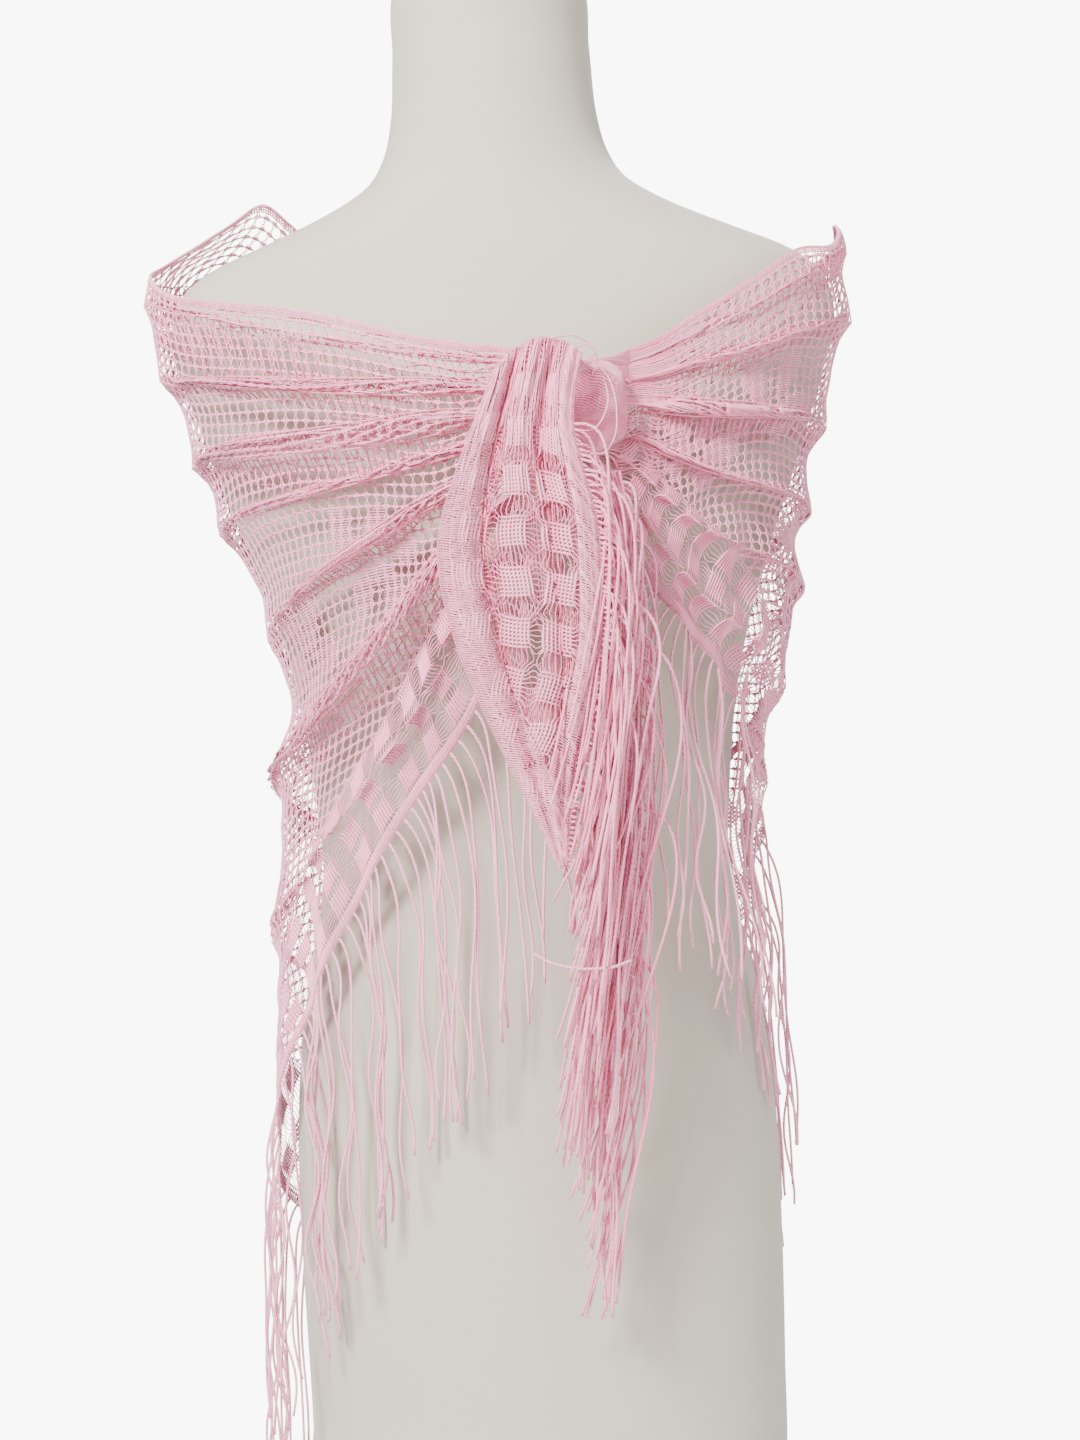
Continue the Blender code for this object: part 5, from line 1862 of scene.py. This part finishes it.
@dataclass
class Stand:
    """The round base, its hub and the pole, turned about the upright axis.

    Each part is its piece's name, the node it stands for, and its top's share of its width.
    """

    sides: int = 96
    edge: float = 0.0015
    parts: tuple[tuple[str, str, float], ...] = (
        ("base_plate", "base", 0.985), ("hub_collar", "hub", 22.0 / 28.0), ("pole_tube", "pole", 1.0))

    def build(self, material: bpy.types.Material) -> None:
        """Make each turned piece at its node's own size, with rounded edges."""
        edge = self.edge
        angle = np.linspace(0.0, FULL_TURN, self.sides, endpoint=False)
        circle = np.stack([np.cos(angle), np.sin(angle), np.zeros_like(angle)], axis=-1)
        upright = np.array([0.0, 0.0, 1.0])
        for name, node, narrowing in self.parts:
            low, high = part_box(node)
            radius, bottom, top = high.x, low.z, high.z
            tip = narrowing * radius
            profile = [(radius - edge, bottom), (radius - 0.3 * edge, bottom + 0.3 * edge),
                       (radius, bottom + edge)]
            if node == "base":
                profile += [(radius, bottom + 0.7 * (top - bottom)),
                            (radius - 0.4 * edge, top - 1.2 * edge), (tip, top - 0.3 * edge)]
            profile += [(tip, top - edge), (tip - 0.3 * edge, top - 0.3 * edge), (tip - edge, top)]
            radii, heights = np.array(sorted(profile, key=lambda row: row[1])).T[..., None, None]
            grid = radii * circle + heights * upright
            dress(make_grid(name, grid, material), "stand_metal", node)


@dataclass
class Studio:
    """Pale floor, soft lights and the camera at the photograph's viewing angle."""

    eye: Point = (0.0118, -1.6, 1.048)
    lens: float = 68.0
    roll: float = -2.5
    ambient: float = 0.72
    backdrop: float = 9.0
    floor_reach: float = 2.3
    floor_sides: int = 96
    floor_colour: Colour = (0.86, 0.86, 0.86, 1.0)
    floor_roughness: float = 0.7
    aim: Point = (0.0, 0.0, 1.1)
    lamps: tuple[tuple[str, Point, float, float], ...] = (
        ("key light", (-1.2, -2.0, 2.8), 0.7, 265.0),
        ("fill light", (1.9, -1.8, 1.5), 1.6, 40.0),
        ("back light", (0.6, 2.4, 2.4), 2.0, 50.0))

    def build(self) -> None:
        """Make the floor, the lights, the pale surroundings and the camera."""
        self.floor()
        for lamp in self.lamps:
            self.light(*lamp)
        world = bpy.data.worlds.new("pale surroundings")
        bpy.context.scene.world = world
        world.use_nodes = True
        graph = NodeGraph(world.node_tree)
        seen = graph.add("ShaderNodeLightPath").outputs["Is Camera Ray"]
        strength = graph.math("MULTIPLY_ADD", seen, self.backdrop - self.ambient, self.ambient)
        graph.fill(graph.tree.nodes["Background"], {"Color": (1.0, 1.0, 1.0, 1.0), "Strength": strength})
        self.camera()

    def floor(self) -> None:
        """A plain pale round floor."""
        mesh = bpy.data.meshes.new("floor")
        turn = np.linspace(0.0, FULL_TURN, self.floor_sides, endpoint=False)
        rim = np.stack([np.cos(turn), np.sin(turn), np.zeros_like(turn)], axis=-1) * self.floor_reach
        mesh.from_pydata(rim.tolist(), [], [tuple(range(self.floor_sides))])
        material, graph, shader = new_material("pale floor")
        graph.fill(shader, {"Base Color": self.floor_colour, "Roughness": self.floor_roughness})
        mesh.materials.append(material)
        put(mesh)

    def light(self, name: str, place: Point, size: float, power: float) -> None:
        """Add a square soft light that looks at the scarf.

        Args:
            name: The light's name.
            place: Where it stands.
            size: Its width.
            power: Its power in watts.
        """
        data = bpy.data.lights.new(name, "AREA")
        data.size = size
        data.energy = power
        lamp = put(data)
        lamp.location = place
        lamp.rotation_mode = "QUATERNION"
        lamp.rotation_quaternion = (Vector(self.aim) - Vector(place)).to_track_quat("-Z", "Y")

    def camera(self) -> None:
        """Place the camera, which looks level and leans a little."""
        data = bpy.data.cameras.new("camera")
        data.lens = self.lens
        data.sensor_width = 36.0
        camera = put(data)
        camera.location = self.eye
        camera.rotation_mode = "QUATERNION"
        level = Vector((0.0, 1.0, 0.0)).to_track_quat("-Z", "Y")
        camera.rotation_quaternion = level @ Quaternion((0.0, 0.0, 1.0), np.radians(self.roll))
        bpy.context.scene.camera = camera


def flat_area(start: float, end: float) -> float:
    """Flat area of a stretch of the triangle between two places on its long edge."""
    at = np.linspace(start, end, 201)
    depth = Drape.depth(at)
    return float(((depth[1:] + depth[:-1]) * 0.5 * np.diff(at)).sum())


def knot_face(drape: Drape) -> tuple[float, float]:
    """Depth of the knot's back and front: it lies just before the folds that run into it."""
    ends = drape.hollow(np.array([[LEFT_KNOT_AT], [RIGHT_KNOT_AT]]), np.linspace(0.3, 0.7, 40))
    back = float(ends[..., 1].min()) - KNOT_SEAT
    return back, back - KNOT_DEPTH


def make_tails(form: FormShape, face: float, finishes: Finishes) -> None:
    """Make both tails and the cords that hang from them.

    Args:
        form: The form that the cords stay clear of.
        face: Depth of the knot's face.
        finishes: The materials.
    """
    front = Tail("lace_tail_front", "tail_front", (0.385, 0.3008), FRONT_TAIL,
                 table("across count", [(0.0, 0.18), (0.30, 1.0), (0.73, 2.0), (1.0, 2.82)]),
                 face, behind=0.0034, lobe_depth=0.011, arch=0.020,
                 columns=(0.0220, 0.0450, 0.0680), ribbed_width=0.020, hem_width=0.0110)
    back = Tail("lace_tail_back", "tail_back", (0.266, 0.2078), BACK_TAIL,
                table("across count", [(0.0, 0.2), (0.55, 1.0), (1.0, 1.8)]),
                face, behind=0.0015, lobe_depth=0.006, arch=0.0,
                columns=(0.0160,), ribbed_width=0.010, hem_width=0.0080, full_width=0.034)
    front.build(finishes.lace)
    back.build(finishes.lace)
    fringe = TailFringe(Strands(form, arc=0.009, sway=0.003, drift=0.02), face)
    fringe.build("cords_tail_front", "fringe_tail_front", front.edge_roots(84, 0.22, 1.0),
                 1.0, 34, finishes.cord, (LYING_CORD,))
    roots = np.concatenate([back.edge_roots(46, 0.02, across) for across in (0.05, 1.0)])
    fringe.build("cords_tail_back", "fringe_tail_back", roots, 0.35, 35, finishes.cord)


def main() -> None:
    """Build every piece round the frame."""
    logging.basicConfig(level=logging.INFO, format="%(message)s")
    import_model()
    finishes = Finishes.make()
    form = FormShape()
    drape = Drape(form)
    lace = Lace(drape)

    Stand().build(finishes.coat)
    DressForm(form).build(finishes.jersey)
    nets = [(stretch, lace.build(stretch, finishes.lace)) for stretch in Stretch]
    fringe = WrapFringe(drape, Strands(form))
    for hem in Hem:
        fringe.build(hem, finishes.cord)
    back, face = knot_face(drape)
    Knot(back, face).build(finishes.lace, drape)
    make_tails(form, face, finishes)
    for stretch, net in nets:
        _, _, start, end = stretch.value
        size = (end - start, float(Drape.depth(np.linspace(start, end, 50)).max()))
        flat_area(start, end)

    Studio().build()


if __name__ == "__main__":
    main()
